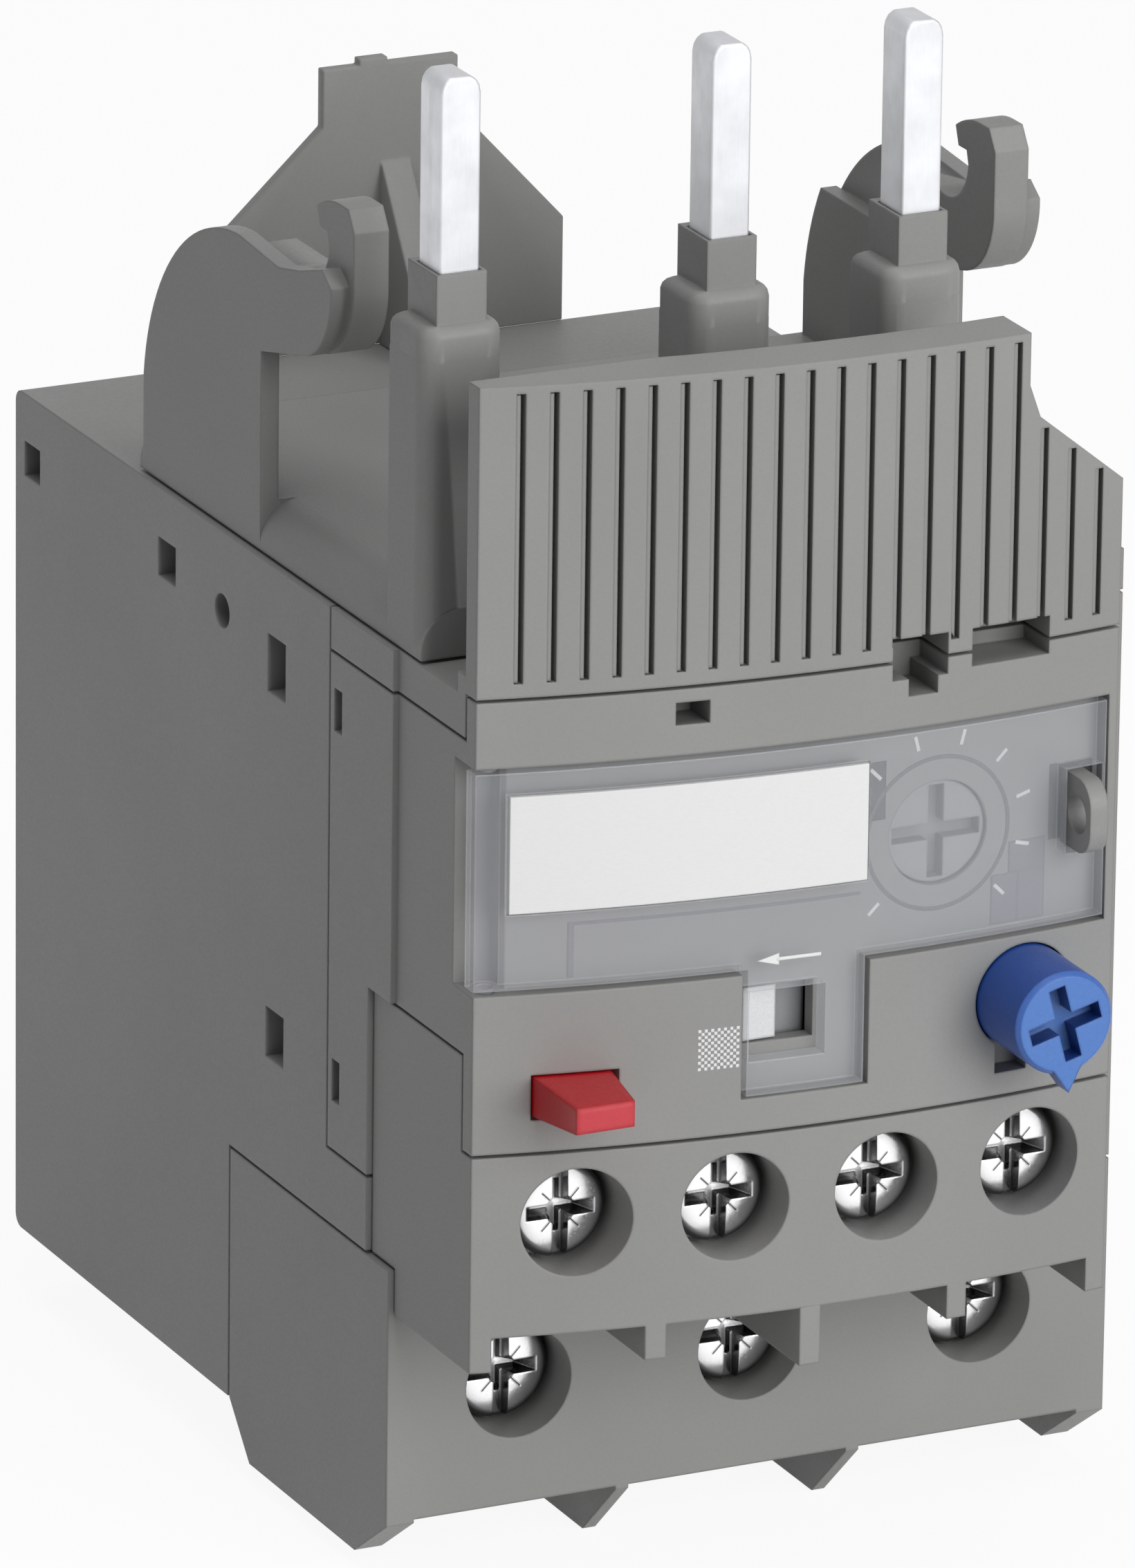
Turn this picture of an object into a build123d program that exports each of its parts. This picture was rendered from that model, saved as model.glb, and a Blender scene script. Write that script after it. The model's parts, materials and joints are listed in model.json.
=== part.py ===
from build123d import *
import math
import os

# Thermal overload relay that plugs under a contactor, in millimetres.
# Frame: x to the right, y to the rear, z up. The origin lies on the rear mounting plane, midway
# across the width, at the height of the contactor's underside. In this file a place is given by
# x, by its depth in front of the mounting plane and by its height above the feet.

# Overall sizes
body_width = 45.0
body_depth = 51.8
body_top = 54.6
rear_foot = 3.1
seat_height = 76.5
blade_top = 87.5

# Split lines between the mouldings
block_depth_start = 30.5
block_top = 18.2
front_start = 43.6
front_bottom = 22.9
aux_start = 49.0
deck_bottom = 52.2
seam = 0.2

# Nose: the narrower front zone, bowed about an upright axis, its levels set by the reset knob
reset_height = 34.0
reset_radius = 3.0
nose_left = -body_width / 2 + 0.3
nose_right = body_width / 2 - 6.6
nose_front = 64.85
nose_bulge_x = 2.5
nose_radius = 100.0
aux_top = reset_height - reset_radius - 2.6
aux_plate_bottom = 17.6
aux_leg_bottom = 15.6
wing_top = aux_top + 5.4
skin_start = 60.6

# Walls and running clearances
side_wall = 1.4
nose_wall = 1.0
rear_wall = 2.0
floor_wall = 1.5
front_wall = 3.2
slip = 0.1
play = 0.3

# Top carrier with its hooks and towers
carrier_start = 17.0
carrier_front = body_depth + 2.9
carrier_top = body_top + 3.0
carrier_edge = 2.4
hook_plate = 1.1
hook_inner = 2.1
hook_left = -body_width / 2 + 0.3
hook_right = body_width / 2 - 1.0
carrier_right = body_width / 2 - 0.3
carrier_right_front = 51.0
carrier_step_x = nose_right - 2.9
hook_back = carrier_start + 0.4
hook_stem = 16.0
hook_root = 8.8
hook_rib = 0.8
hook_rib_run = (7.9, 16.0)
hook_rib_rise = (5.9, 7.1)
plate_back = [(0, 2.9), (3.2, 10.1), (12.9, 14.7)]
plate_saddle = [(12.9, 14.7), (18.2, 14.3), (21.0, 14.9), (24.0, 15.8), (25.2, 15.0)]
plate_chin = [(25.2, 15.0), (24.6, 12.4), (22.2, 10.3)]
crook_back = [(0, 3.3), (0.8, 6.8), (2.0, 9.4)]
crook_shelf = [(2.0, 9.4), (11.1, 9.4), (13.6, 14.3), (18.8, 14.3)]
crook_bend = [(18.8, 14.3), (21.9, 15.0), (22.55, 16.6)]
crook_barb = [(22.55, 16.6), (22.3, 17.4), (21.3, 17.4), (20.9, 18.5)]
crook_crest = [(20.9, 18.5), (22.4, 19.2), (23.8, 19.4)]
crook_face = [(23.8, 19.4), (25.0, 19.4), (25.8, 18.2), (25.8, 14.8)]
crook_chin = [(25.8, 14.8), (24.9, 12.0), (22.2, 10.3)]
blade_x = [nose_left + 2.5, nose_left + 18.8, nose_right - 7.6]
blade_width = 2.4
blade_thick = 2.7
blade_depth = 52.45
blade_tip = 1.3
collar_width = 3.2
collar_depth = 4.2
collar_bottom = 72.9
tower_width = 5.0
tower_depth = 4.4
tower_shoulder = 0.9
blade_play = 0.1

# Rear locking plate
plate_thick = 2.0
plate_left_base = -12.0
plate_right_base = 11.4
plate_left_top = -3.1
plate_neck_right = 4.5
plate_right_shoulder = 5.9
plate_top = 71.4
plate_neck_height = 67.9
plate_right_height = 60.6

# Grille
grille_thick = 3.4
grille_back = 60.4
grille_bottom = 54.75
grille_top = 72.5
grille_corner_x = nose_right - 6.2
grille_corner_low = 69.5
grille_slope_x = nose_right - 5.5
grille_slope_top = 67.6
grille_slope_low = 63.2
groove_count = 20
groove_first = nose_left + 2.25
groove_pitch = (nose_right - nose_left - 3.824) / (groove_count - 1)
groove_width = 0.5
groove_cut = 0.9
groove_margin = 0.45
groove_bottom = 55.55

# Hinged clear cover, its label and its seal lug
cover_thick = 1.1
cover_bottom = reset_height + reset_radius + 0.75
cover_top = 50.6
cover_right = nose_right - 0.7
cover_gap = 0.15
tab_left = -6.95
tab_right = 0.3
tab_bottom = aux_top + 2.1
hinge_x = nose_left + 1.0
hinge_inset = 0.95
hinge_radius = 0.8
hinge_pin_radius = 0.5
hinge_pin_length = 1.2
hinge_notch = 2.6
label_left = nose_left + 1.85
label_right = 0.15
label_bottom = cover_bottom + 4.6
label_top = 49.1
label_thick = 0.4
label_proud = 0.1
seal_x = nose_right - 2.9
seal_thick = 1.1
seal_low = cover_bottom + 4.45
seal_high = 46.5
seal_reach = 2.3
seal_hole = 1.1
seal_swing = 0.9

# Setting dial
dial_x = nose_right - 10.75
dial_height = cover_bottom + 6.2
dial_radius = 2.95
dial_face_inset = 0.35
dial_thick = 1.8
dial_shaft_radius = 1.2
cross_arm = 2.7
cross_width = 0.95
cross_depth = 0.9

# Test slider
slider_left = -6.45
slider_width = 2.0
slider_low = tab_bottom + 2.75
slider_high = slider_low + 3.1
window_right = -2.2
window_margin = 0.25
slider_foot = 2.3
slider_skin = 2.2
test_travel = 2.0

# Stop button
stop_left = nose_left + 3.3
stop_right = stop_left + 4.7
stop_low = aux_top + 1.95
stop_high = stop_low + 2.45
stop_face_right = stop_right - 1.2
stop_face_low = stop_low + 0.95
stop_reach = 5.6
stop_travel = 2.5

# Reset knob
reset_x = nose_right - 5.7
reset_reach = 5.0
reset_travel = 2.0
pointer_reach = 1.1
pointer_width = 1.6
pointer_depth = 1.4

# Inner chassis plate that guides the stems
chassis_thick = 1.4
chassis_back = body_depth - 1.5 - chassis_thick
chassis_bottom = aux_top + 1.6
stem_radius = 0.9
stem_tail = 0.9
stop_flange = 57.9
reset_flange = 59.6
flange_thick = 0.9
flange_lip = 0.8
spigot_radius = 1.2
spigot_length = 3.4
spring_wire = 0.4
spring_sides = 8

# Auxiliary terminals
screw_slot = 1.0
screw_recess = 1.1
aux_count = 4
aux_first_x = nose_left + 5.85
aux_pitch = (nose_right - nose_left - 10.95) / (aux_count - 1)
aux_height = aux_top - 4.3
aux_hole_radius = 3.15
aux_head_radius = 2.85
aux_head_thick = 1.7
aux_recess = 2.1
aux_screw_radius = 1.5
aux_leg_thick = 1.2
aux_plate_wall = 1.4

# Main terminals
pole_count = 3
pole_pitch = 14.4
main_height = 10.3
main_hole_radius = 3.25
main_head_radius = 3.0
main_head_thick = 2.0
main_recess = 2.4
main_screw_radius = 1.75
wire_radius = 3.0
wire_depth = 42.0
chamber_half = 4.6
chamber_low = 6.4
chamber_high = 16.4
chamber_front = 46.4
leg_start = 33.3
leg_end = 47.6
side_leg = 1.7
fin_thick = 0.8
fin_drop = 1.0
fin_x = [-7.5, 6.95]

# Thermal and trip parts
bimetal_depth = 27.0
bimetal_width = 5.0
bimetal_thick = 0.8
bimetal_top = 47.6
strap_thick = 1.2
strap_reach = 3.8
bimetal_bottom = 23.5
coil_count = 6
coil_pitch = 13.6 / coil_count
coil_wire = 0.8
coil_gap = 0.25
coil_low = 31.5
lead_depth = 31.6
lead_low = 22.4
bar_low = 25.4
bar_thick = 1.2
bar_gap = 0.35
bar_left = -body_width / 2 + 5.5
bar_right = body_width / 2 - 5.3
bar_width = 7.4
trip_travel = 1.5
lever_pivot_x = bar_right + 1.6
lever_pivot_height = 40.0
lever_shaft_radius = 0.9
lever_hub_radius = 1.7
lever_arm = 9.5
ambient_thick = 0.7
barrier_thick = 1.2

# Control contacts
contact_back = aux_start - 4.6
contact_front = contact_back + 1.3
contact_x = [-12.6, -7.25, 2.0, 7.4]
contact_closed = [True, True, False, False]
carrier_bar_left = -14.2
carrier_low = 35.6
carrier_high = 37.4
post_left = 9.2
post_width = 1.4
bridge_thick = 0.6
tip_radius = 1.2
tip_thick = 0.6
contact_gap = 1.0
contact_travel = 0.95
rail_depth = aux_start - 3.0
rail_thick = 1.2
rail_low = aux_height + 0.7
rail_plate = 56.8


def z_of(height):
    return height - seat_height


def block(x0, x1, depth0, depth1, height0, height1):
    size = (x1 - x0, depth1 - depth0, height1 - height0)
    centre = ((x0 + x1) / 2, -(depth0 + depth1) / 2, z_of((height0 + height1) / 2))
    return Pos(*centre) * Box(*size)


def outline(plane, points, length):
    face = make_face(plane * Polyline(*points, close=True))
    return extrude(face, amount=length, dir=plane.z_dir)


def side_shape(points, x0, x1):
    local = [(-depth, z_of(height)) for depth, height in points]
    return outline(Plane.YZ.offset(x0), local, x1 - x0)


def front_shape(points, depth0, depth1):
    local = [(x, z_of(height)) for x, height in points]
    return outline(Plane.XZ.offset(depth0), local, depth1 - depth0)


def curved_shape(plane, edges, length):
    loop = Curve() + edges
    return extrude(make_face(plane * loop), amount=length, dir=plane.z_dir)


def plan_shape(points, height0, height1):
    local = [(x, -depth) for x, depth in points]
    return outline(Plane.XY.offset(z_of(height0)), local, height1 - height0)


def rod_y(x, height, radius, depth0, depth1):
    plane = Plane.XZ.offset(depth0)
    return extrude(plane * Pos(x, z_of(height)) * Circle(radius), amount=depth1 - depth0)


def rod_z(x, depth, radius, height0, height1):
    plane = Plane.XY.offset(z_of(height0))
    return extrude(plane * Pos(x, -depth) * Circle(radius), amount=height1 - height0)


def rod_x(depth, height, radius, x0, x1):
    plane = Plane.YZ.offset(x0)
    return extrude(plane * Pos(-depth, z_of(height)) * Circle(radius), amount=x1 - x0)


# Hidden round parts have twelve flats, which keeps the whole light
def flat_rod_y(x, height, radius, depth0, depth1):
    plane = Plane.XZ.offset(depth0)
    return extrude(plane * Pos(x, z_of(height)) * RegularPolygon(radius, 12), amount=depth1 - depth0)


def flat_rod_z(x, depth, radius, height0, height1):
    plane = Plane.XY.offset(z_of(height0))
    return extrude(plane * Pos(x, -depth) * RegularPolygon(radius, 12), amount=height1 - height0)


def nose_depth(x, inset=0.0):
    across = x - nose_bulge_x
    return nose_front - nose_radius + math.sqrt((nose_radius - inset) ** 2 - across**2)


def nose_arc(x0, x1, inset):
    middle = (x0 + x1) / 2
    ends = [(x, -nose_depth(x, inset)) for x in (x0, middle, x1)]
    return ThreePointArc(*ends)


def nose_solid(x0, x1, inset, back, height0, height1):
    arc = nose_arc(x0, x1, inset)
    left = Line((x0, -back), (x0, -nose_depth(x0, inset)))
    right = Line((x1, -nose_depth(x1, inset)), (x1, -back))
    rear = Line((x1, -back), (x0, -back))
    edges = [left, arc, right, rear]
    return curved_shape(Plane.XY.offset(z_of(height0)), edges, height1 - height0)


def nose_shell(x0, x1, outer, inner, height0, height1):
    whole = nose_solid(x0, x1, outer, body_depth, height0, height1)
    core = nose_solid(x0 - 1, x1 + 1, inner, body_depth - 1, height0 - 1, height1 + 1)
    return whole - core


os.makedirs("parts", exist_ok=True)


def save(name, shape):
    solids = shape.solids()
    body = solids[0] if len(solids) == 1 else Compound(children=list(solids))
    body.label = name
    export_step(body, f"parts/{name}.step")
    return shape


half = body_width / 2
pole_x = [(i - (pole_count - 1) / 2) * pole_pitch for i in range(pole_count)]
aux_x = [aux_first_x + i * aux_pitch for i in range(aux_count)]
cavity_half = half - side_wall


# Rear housing: shell open to the front, with latch windows and barriers between the poles
def rear_housing():
    shelf = block_top + seam
    step = front_bottom - seam
    profile = [
        (0, rear_foot),
        (block_depth_start - seam, rear_foot),
        (block_depth_start - seam, shelf),
        (aux_start - seam, shelf),
        (aux_start - seam, step),
        (front_start - seam, step),
        (front_start - seam, body_top),
        (0, body_top),
    ]
    shell = side_shape(profile, -half, half)
    rear_edges = shell.edges().filter_by(Axis.X).group_by(Axis.Y)[-1]
    shell = fillet(rear_edges, 0.8)
    hollow = [
        (rear_wall, rear_foot + floor_wall),
        (block_depth_start - floor_wall - seam, rear_foot + floor_wall),
        (block_depth_start - floor_wall - seam, shelf + floor_wall),
        (aux_start, shelf + floor_wall),
        (aux_start, step),
        (front_start, step),
        (front_start, body_top - floor_wall),
        (rear_wall, body_top - floor_wall),
    ]
    shell -= side_shape(hollow, -cavity_half, cavity_half)
    window_low = bar_low - play
    window_high = bar_low + 2 * bar_thick + bar_gap + play
    for side in (-1, 1):
        middle = side * pole_pitch / 2
        wall = block(
            middle - barrier_thick / 2,
            middle + barrier_thick / 2,
            rear_wall - 0.5,
            block_depth_start + 6,
            shelf,
            body_top - floor_wall + 0.5,
        )
        wall -= block(
            middle - barrier_thick,
            middle + barrier_thick,
            bimetal_depth - bar_width / 2 - play,
            bimetal_depth + bar_width / 2 + play,
            window_low,
            window_high,
        )
        shell += wall
    bearing = block(lever_pivot_x - 1.8, cavity_half + 0.1, 20.0, 23.6, 38.2, 41.8)
    shell += bearing - rod_y(lever_pivot_x, lever_pivot_height, lever_shaft_radius + slip, 20.8, 24)
    for x in pole_x:
        shell -= block(x - 2.3, x + 2.3, 37.0, 39.2, block_top, shelf + floor_wall + 1)
    for left in (-half - 1, cavity_half - 1):
        right = left + side_wall + 2
        for depth, height, wide, tall in side_windows:
            low = height - tall / 2
            shell -= block(left, right, depth - wide / 2, depth + wide / 2, low, low + tall)
        shell -= rod_x(29.0, 49.9, 1.0, left, right)
    return shell


side_windows = [
    (2.4, 50.7, 2.2, 2.1), (21.4, 50.5, 2.4, 2.3), (36.4, 48.8, 2.4, 3.4), (36.4, 26.9, 2.4, 3.0)
]


# Legs of the main terminal block: walls with bevelled ends below the wire entries
def leg(left, right, tip):
    shoulder = rear_foot + 0.5
    run = [
        (block_depth_start, shoulder),
        (block_depth_start, rear_foot),
        (leg_start, tip),
        (leg_end, tip),
        (body_depth, rear_foot - 0.2),
        (body_depth, shoulder),
    ]
    return side_shape(run, left, right)


def main_terminal_block():
    body = block(-half, half, block_depth_start, body_depth, rear_foot, block_top)
    body += leg(-half, -half + side_leg, 0)
    body += leg(half - side_leg, half, 0)
    for x in fin_x:
        body += leg(x - fin_thick, x, -fin_drop)
    for x in pole_x:
        body -= block(
            x - chamber_half, x + chamber_half, block_depth_start - 1, chamber_front, chamber_low, chamber_high
        )
        body -= rod_z(x, wire_depth, wire_radius, -1, chamber_low + 0.1)
        body -= rod_y(
            x, main_height, main_hole_radius, body_depth - main_recess - main_head_thick, body_depth + 1
        )
        body -= flat_rod_y(
            x, main_height, main_screw_radius + slip, chamber_front - 1, body_depth - main_recess
        )
        body -= block(x - 2.3, x + 2.3, 37.0, 39.2, chamber_high - 1, block_top + 1)
    return body


# Auxiliary terminal block: four wire chambers between legs, screw wells above
def aux_terminal_block():
    top = aux_top - seam
    body = nose_solid(nose_left, nose_right, 0, aux_start, aux_leg_bottom, top)
    body -= block(nose_left - 1, nose_right + 1, aux_start - 1, body_depth + seam, 0, block_top + seam)
    inner_edges = aux_leg_edges()
    for left, right in inner_edges:
        body -= nose_solid(
            left, right, aux_plate_wall, body_depth + 1.6, aux_leg_bottom - 1, aux_height - 3.7
        )
        body -= nose_solid(left, right, -1, body_depth, aux_leg_bottom - 1, aux_plate_bottom)
    for x in aux_x:
        floor = nose_depth(x) - aux_recess - aux_head_thick
        body -= rod_y(x, aux_height, aux_hole_radius, floor, nose_front + 2)
        body -= block(x - 3.2, x + 3.2, body_depth + 1.6, floor + 0.05, aux_height - 4.1, aux_height + 2.9)
        body -= block(
            x - 1.7, x + 1.7, aux_start - 1, body_depth + 2, rail_low - 0.2, rail_low + rail_thick + 0.2
        )
    wing = block(nose_left, nose_left + side_wall, aux_start, skin_start - seam, top - 1, wing_top)
    return body + wing


def aux_leg_edges():
    starts = [nose_left]
    starts += [(aux_x[i] + aux_x[i + 1] - aux_leg_thick) / 2 for i in range(aux_count - 1)]
    starts += [nose_right - aux_leg_thick]
    pairs = zip(starts[:-1], starts[1:])
    return [(left + aux_leg_thick, right) for left, right in pairs]


# Front housing: full-width base and bowed nose, recessed for the cover
def front_housing():
    base = block(-half, half, front_start, body_depth, front_bottom, deck_bottom - seam)
    nose = nose_solid(nose_left, nose_right, 0, body_depth - 1, aux_top, grille_bottom - seam)
    nose -= block(-half - 1, half + 1, 0, skin_start, deck_bottom - seam, body_top + 1)
    strip = block(nose_right + seam, half, aux_start, body_depth, block_top + seam, front_bottom + 1)
    body = base + nose + strip
    body -= block(nose_left - 1, nose_right + seam, aux_start - seam, body_depth + 0.01, 0, aux_top)
    body -= block(-half - 1, nose_left + side_wall + seam, aux_start - seam, skin_start, 0, wing_top + seam)
    hollow_top = deck_bottom
    body -= block(
        -cavity_half, cavity_half, front_start - 1, aux_start - floor_wall, front_bottom + floor_wall, hollow_top
    )
    body -= block(
        -cavity_half, cavity_half, front_start - 1, body_depth - floor_wall, aux_top + nose_wall, hollow_top
    )
    body -= nose_solid(
        nose_left + nose_wall, nose_right - nose_wall, front_wall, front_start, aux_top + nose_wall, hollow_top
    )
    body -= cover_recess()
    body = cut_controls(body)
    reach = slider_foot + play
    body -= nose_solid(
        slider_left - reach,
        slider_left + slider_width + test_travel + reach,
        slider_skin,
        body_depth,
        (slider_low + slider_high) / 2 - 2.7,
        (slider_low + slider_high) / 2 + 2.7,
    )
    for x in aux_x:
        body -= block(
            x - 1.7, x + 1.7, aux_start - 2, aux_start + 0.5, rail_low - 0.2, rail_low + rail_thick + 0.2
        )
    for depth, height, wide, tall in ((44.6, 48.8, 1.0, 2.5), (44.6, 27.0, 1.0, 2.5)):
        body -= block(
            -half - 1, half + 1, depth - wide / 2, depth + wide / 2, height - tall / 2, height + tall / 2
        )
    return body


def cover_recess():
    deep = cover_thick + cover_gap
    low = cover_bottom - cover_gap
    high = cover_top + cover_gap
    upper = nose_shell(nose_left - 1, cover_right + cover_gap, -1, deep, low, high)
    tab = nose_shell(tab_left - cover_gap, tab_right + cover_gap, -1, deep, tab_bottom - cover_gap, low + 1)
    corner = block(
        nose_left - 1, hinge_x + hinge_radius + 0.4, nose_depth(nose_left) - hinge_notch, nose_front, low, high
    )
    pins = rod_z(
        hinge_x, hinge_depth, hinge_pin_radius + 0.05, low - hinge_pin_length - 0.2, high + hinge_pin_length + 0.2
    )
    return upper + tab + corner + pins


hinge_depth = nose_depth(hinge_x) - hinge_inset


def cut_controls(body):
    dial_floor = nose_depth(dial_x) - cover_thick - cover_gap - dial_face_inset - dial_thick - slip
    body -= rod_y(dial_x, dial_height, dial_radius + slip, dial_floor, nose_front + 1)
    body -= rod_y(dial_x, dial_height, dial_shaft_radius + slip, body_depth, nose_front)
    body -= rod_y(reset_x, reset_height, reset_radius + slip, body_depth, nose_front + 1)
    slot_floor = nose_depth(reset_x) - 1.4
    body -= block(
        reset_x - 1.8, reset_x + 0.2, slot_floor, nose_front, reset_height - 4.3, reset_height - 2.2
    )
    body -= block(
        stop_left - slip, stop_right + slip, body_depth, nose_front, stop_low - slip, stop_high + slip
    )
    body -= block(
        slider_left - slip,
        slider_left + slider_width + test_travel + slip,
        body_depth,
        nose_front,
        slider_low - slip,
        slider_high + slip,
    )
    body -= block(-11.2, -9.25, nose_depth(-10) - 2.4, nose_front, 52.5, 53.8)
    body -= block(1.5, 4.9, skin_start + 0.8, nose_front, 53.6, grille_bottom)
    body -= block(2.5, 4.3, skin_start + 0.8, nose_front, 52.6, 53.7)
    body -= block(6.4, 11.3, skin_start + 0.8, nose_front, 53.8, grille_bottom)
    return body


# Grille panel: bowed plate with upright grooves on a flat deck
def grille_panel():
    outline_points = [
        (nose_left, grille_bottom),
        (nose_right, grille_bottom),
        (nose_right, grille_slope_low),
        (grille_slope_x, grille_slope_top),
        (grille_corner_x, grille_corner_low),
        (grille_corner_x, grille_top),
        (nose_left, grille_top),
    ]
    plate = nose_shell(nose_left, nose_right, 0, grille_thick, grille_bottom, grille_top)
    plate -= block(-half, half, body_depth, grille_back, 0, grille_top + 1)
    plate &= front_shape(outline_points, body_depth, nose_front + 1)
    deck = block(nose_left, nose_right, body_depth - 1, skin_start - seam, deck_bottom, body_top)
    web = nose_solid(nose_left, nose_right, 0, grille_back - 1.0, body_top - 0.1, grille_bottom + 1)
    web -= block(-half, half, skin_start - seam, nose_front, 0, grille_bottom)
    rear_deck = block(-half, half, front_start, body_depth, deck_bottom, body_top)
    panel = plate + deck + web + rear_deck
    panel -= block(nose_right + 0.01, half + 1, body_depth + 0.01, nose_front, 0, grille_top)
    for i in range(groove_count):
        x = groove_first + i * groove_pitch
        top = grille_height(x) - groove_margin
        panel -= nose_shell(
            x - groove_width / 2, x + groove_width / 2, -1, groove_cut, groove_bottom, top
        )
    panel -= block(1.5, 4.9, skin_start + 0.8, nose_front + 1, grille_bottom - 0.1, 56.0)
    panel -= block(6.4, 11.3, skin_start + 0.8, nose_front + 1, grille_bottom - 0.1, 56.0)
    for x in blade_x:
        panel -= block(
            x - blade_width / 2 - blade_play,
            x + blade_width / 2 + blade_play,
            blade_depth - blade_thick / 2 - blade_play,
            blade_depth + blade_thick / 2 + blade_play,
            deck_bottom - 1,
            body_top + 1,
        )
    return panel


def grille_height(x):
    if x < grille_corner_x:
        return grille_top
    fall = (grille_slope_top - grille_slope_low) / (nose_right - grille_slope_x)
    return grille_slope_top - fall * (x - grille_slope_x)


# Top carrier: platform, hooks and the three blade towers in one moulding
def top_carrier():
    low = body_top + seam
    body = block(hook_left, carrier_right, carrier_start, carrier_front, low, carrier_top)
    body -= block(carrier_step_x, half + 1, carrier_right_front, carrier_front + 1, 0, seat_height)
    long_edges = body.edges().filter_by(Axis.Y).group_by(Axis.Z)[-1]
    body = fillet(long_edges, carrier_edge)
    for side in (-1, 1):
        body += hook(side)
    for x in blade_x:
        body += tower(x, low)
    body -= block(hook_left - 5, hook_left - 0.05, 0, body_depth + 9, low - 1, seat_height)
    for x in blade_x:
        body -= block(
            x - blade_width / 2 - blade_play,
            x + blade_width / 2 + blade_play,
            blade_depth - blade_thick / 2 - blade_play,
            blade_depth + blade_thick / 2 + blade_play,
            low - 1,
            seat_height + 1,
        )
    return body


def tower(x, low):
    column = block(
        x - tower_width / 2,
        x + tower_width / 2,
        blade_depth - tower_depth / 2,
        blade_depth + tower_depth / 2,
        low,
        collar_bottom - 0.2,
    )
    column = fillet(column.edges().filter_by(Axis.Z).group_by(Axis.Y)[0], 1.2)
    column = chamfer(column.faces().sort_by(Axis.Z)[-1].edges(), tower_shoulder, 0.5)
    collar = block(
        x - collar_width / 2 - 0.2,
        x + collar_width / 2 + 0.2,
        blade_depth - collar_depth / 2,
        blade_depth + collar_depth / 2,
        low,
        seat_height,
    )
    return column + collar


# Hooks: a thin outer plate with a saddle, and a thicker inner layer that ends in the crook
def hook(side):
    edge = hook_left if side < 0 else hook_right
    step = edge - side * hook_plate
    face = step - side * hook_inner
    rib = face - side * hook_rib
    plate = hook_layer(min(edge, step), max(edge, step), hook_plate_edges())
    crook = hook_layer(min(step, face), max(step, face), hook_crook_edges())
    rib_back, rib_front = [hook_back + run for run in hook_rib_run]
    rib_low, rib_high = [carrier_top + rise for rise in hook_rib_rise]
    return plate + crook + block(min(face, rib), max(face, rib), rib_back, rib_front, rib_low, rib_high)


def hook_layer(x0, x1, edges):
    return curved_shape(Plane.YZ.offset(x0), edges, x1 - x0)


def hook_points(places):
    return [(-(hook_back + run), z_of(carrier_top + rise)) for run, rise in places]


def straight(places):
    spots = hook_points(places)
    return [Line(a, b) for a, b in zip(spots[:-1], spots[1:])]


def bend(places):
    return [ThreePointArc(*hook_points(places))]


def hook_frame(back, chin):
    foot = -seam - 0.2
    return straight([chin[-1], (hook_stem, hook_root), (hook_stem, foot), (0, foot), back[0]])


def hook_plate_edges():
    edges = hook_frame(plate_back, plate_chin)
    edges += bend(plate_back)
    edges += straight(plate_saddle)
    return edges + bend(plate_chin)


def hook_crook_edges():
    edges = hook_frame(crook_back, crook_chin)
    edges += bend(crook_back)
    edges += straight(crook_shelf)
    edges += bend(crook_bend)
    edges += straight(crook_barb)
    edges += bend(crook_crest)
    edges += straight(crook_face)
    return edges + bend(crook_chin)


# Rear locking plate with its gusset and latch nose
def rear_plate():
    low = body_top + seam
    points = [
        (plate_left_base, low),
        (plate_right_base, low),
        (plate_right_base, plate_right_height),
        (plate_right_shoulder, 66.6),
        (plate_neck_right, plate_neck_height),
        (plate_neck_right, plate_top),
        (plate_left_top, plate_top),
        (plate_left_top, plate_neck_height),
        (plate_left_base, 59.6),
    ]
    plate = front_shape(points, 0, plate_thick)
    nose = block(-0.7, 1.3, 0, plate_thick, plate_top - 0.2, plate_top + 0.55)
    gusset_run = [(plate_thick - 0.1, low), (8.5, low), (plate_thick - 0.1, 65.8)]
    gusset = side_shape(gusset_run, 0.3, 1.9)
    return plate + nose + gusset


# Blades: flat copper tongues with bevelled tips, each with its strap to the heater
def blade(i):
    x = blade_x[i]
    target = pole_x[i]
    front = blade_depth + blade_thick / 2
    strap_low = bimetal_top
    strap_high = bimetal_top + strap_thick
    tongue = block(
        x - blade_width / 2, x + blade_width / 2, blade_depth - blade_thick / 2, front, strap_low, blade_top
    )
    tip_edges = tongue.faces().sort_by(Axis.Z)[-1].edges()
    tongue = chamfer(tip_edges, blade_tip, 0.6)
    strap = plan_shape(
        [
            (x - blade_width / 2, front),
            (x + blade_width / 2, front),
            (x + blade_width / 2, front_start),
            (target + 1.5, 36.0),
            (target + 1.5, bimetal_depth - strap_reach),
            (target - 1.5, bimetal_depth - strap_reach),
            (target - 1.5, 36.0),
            (x - blade_width / 2, front_start),
        ],
        strap_low,
        strap_high,
    )
    return tongue + strap


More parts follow.
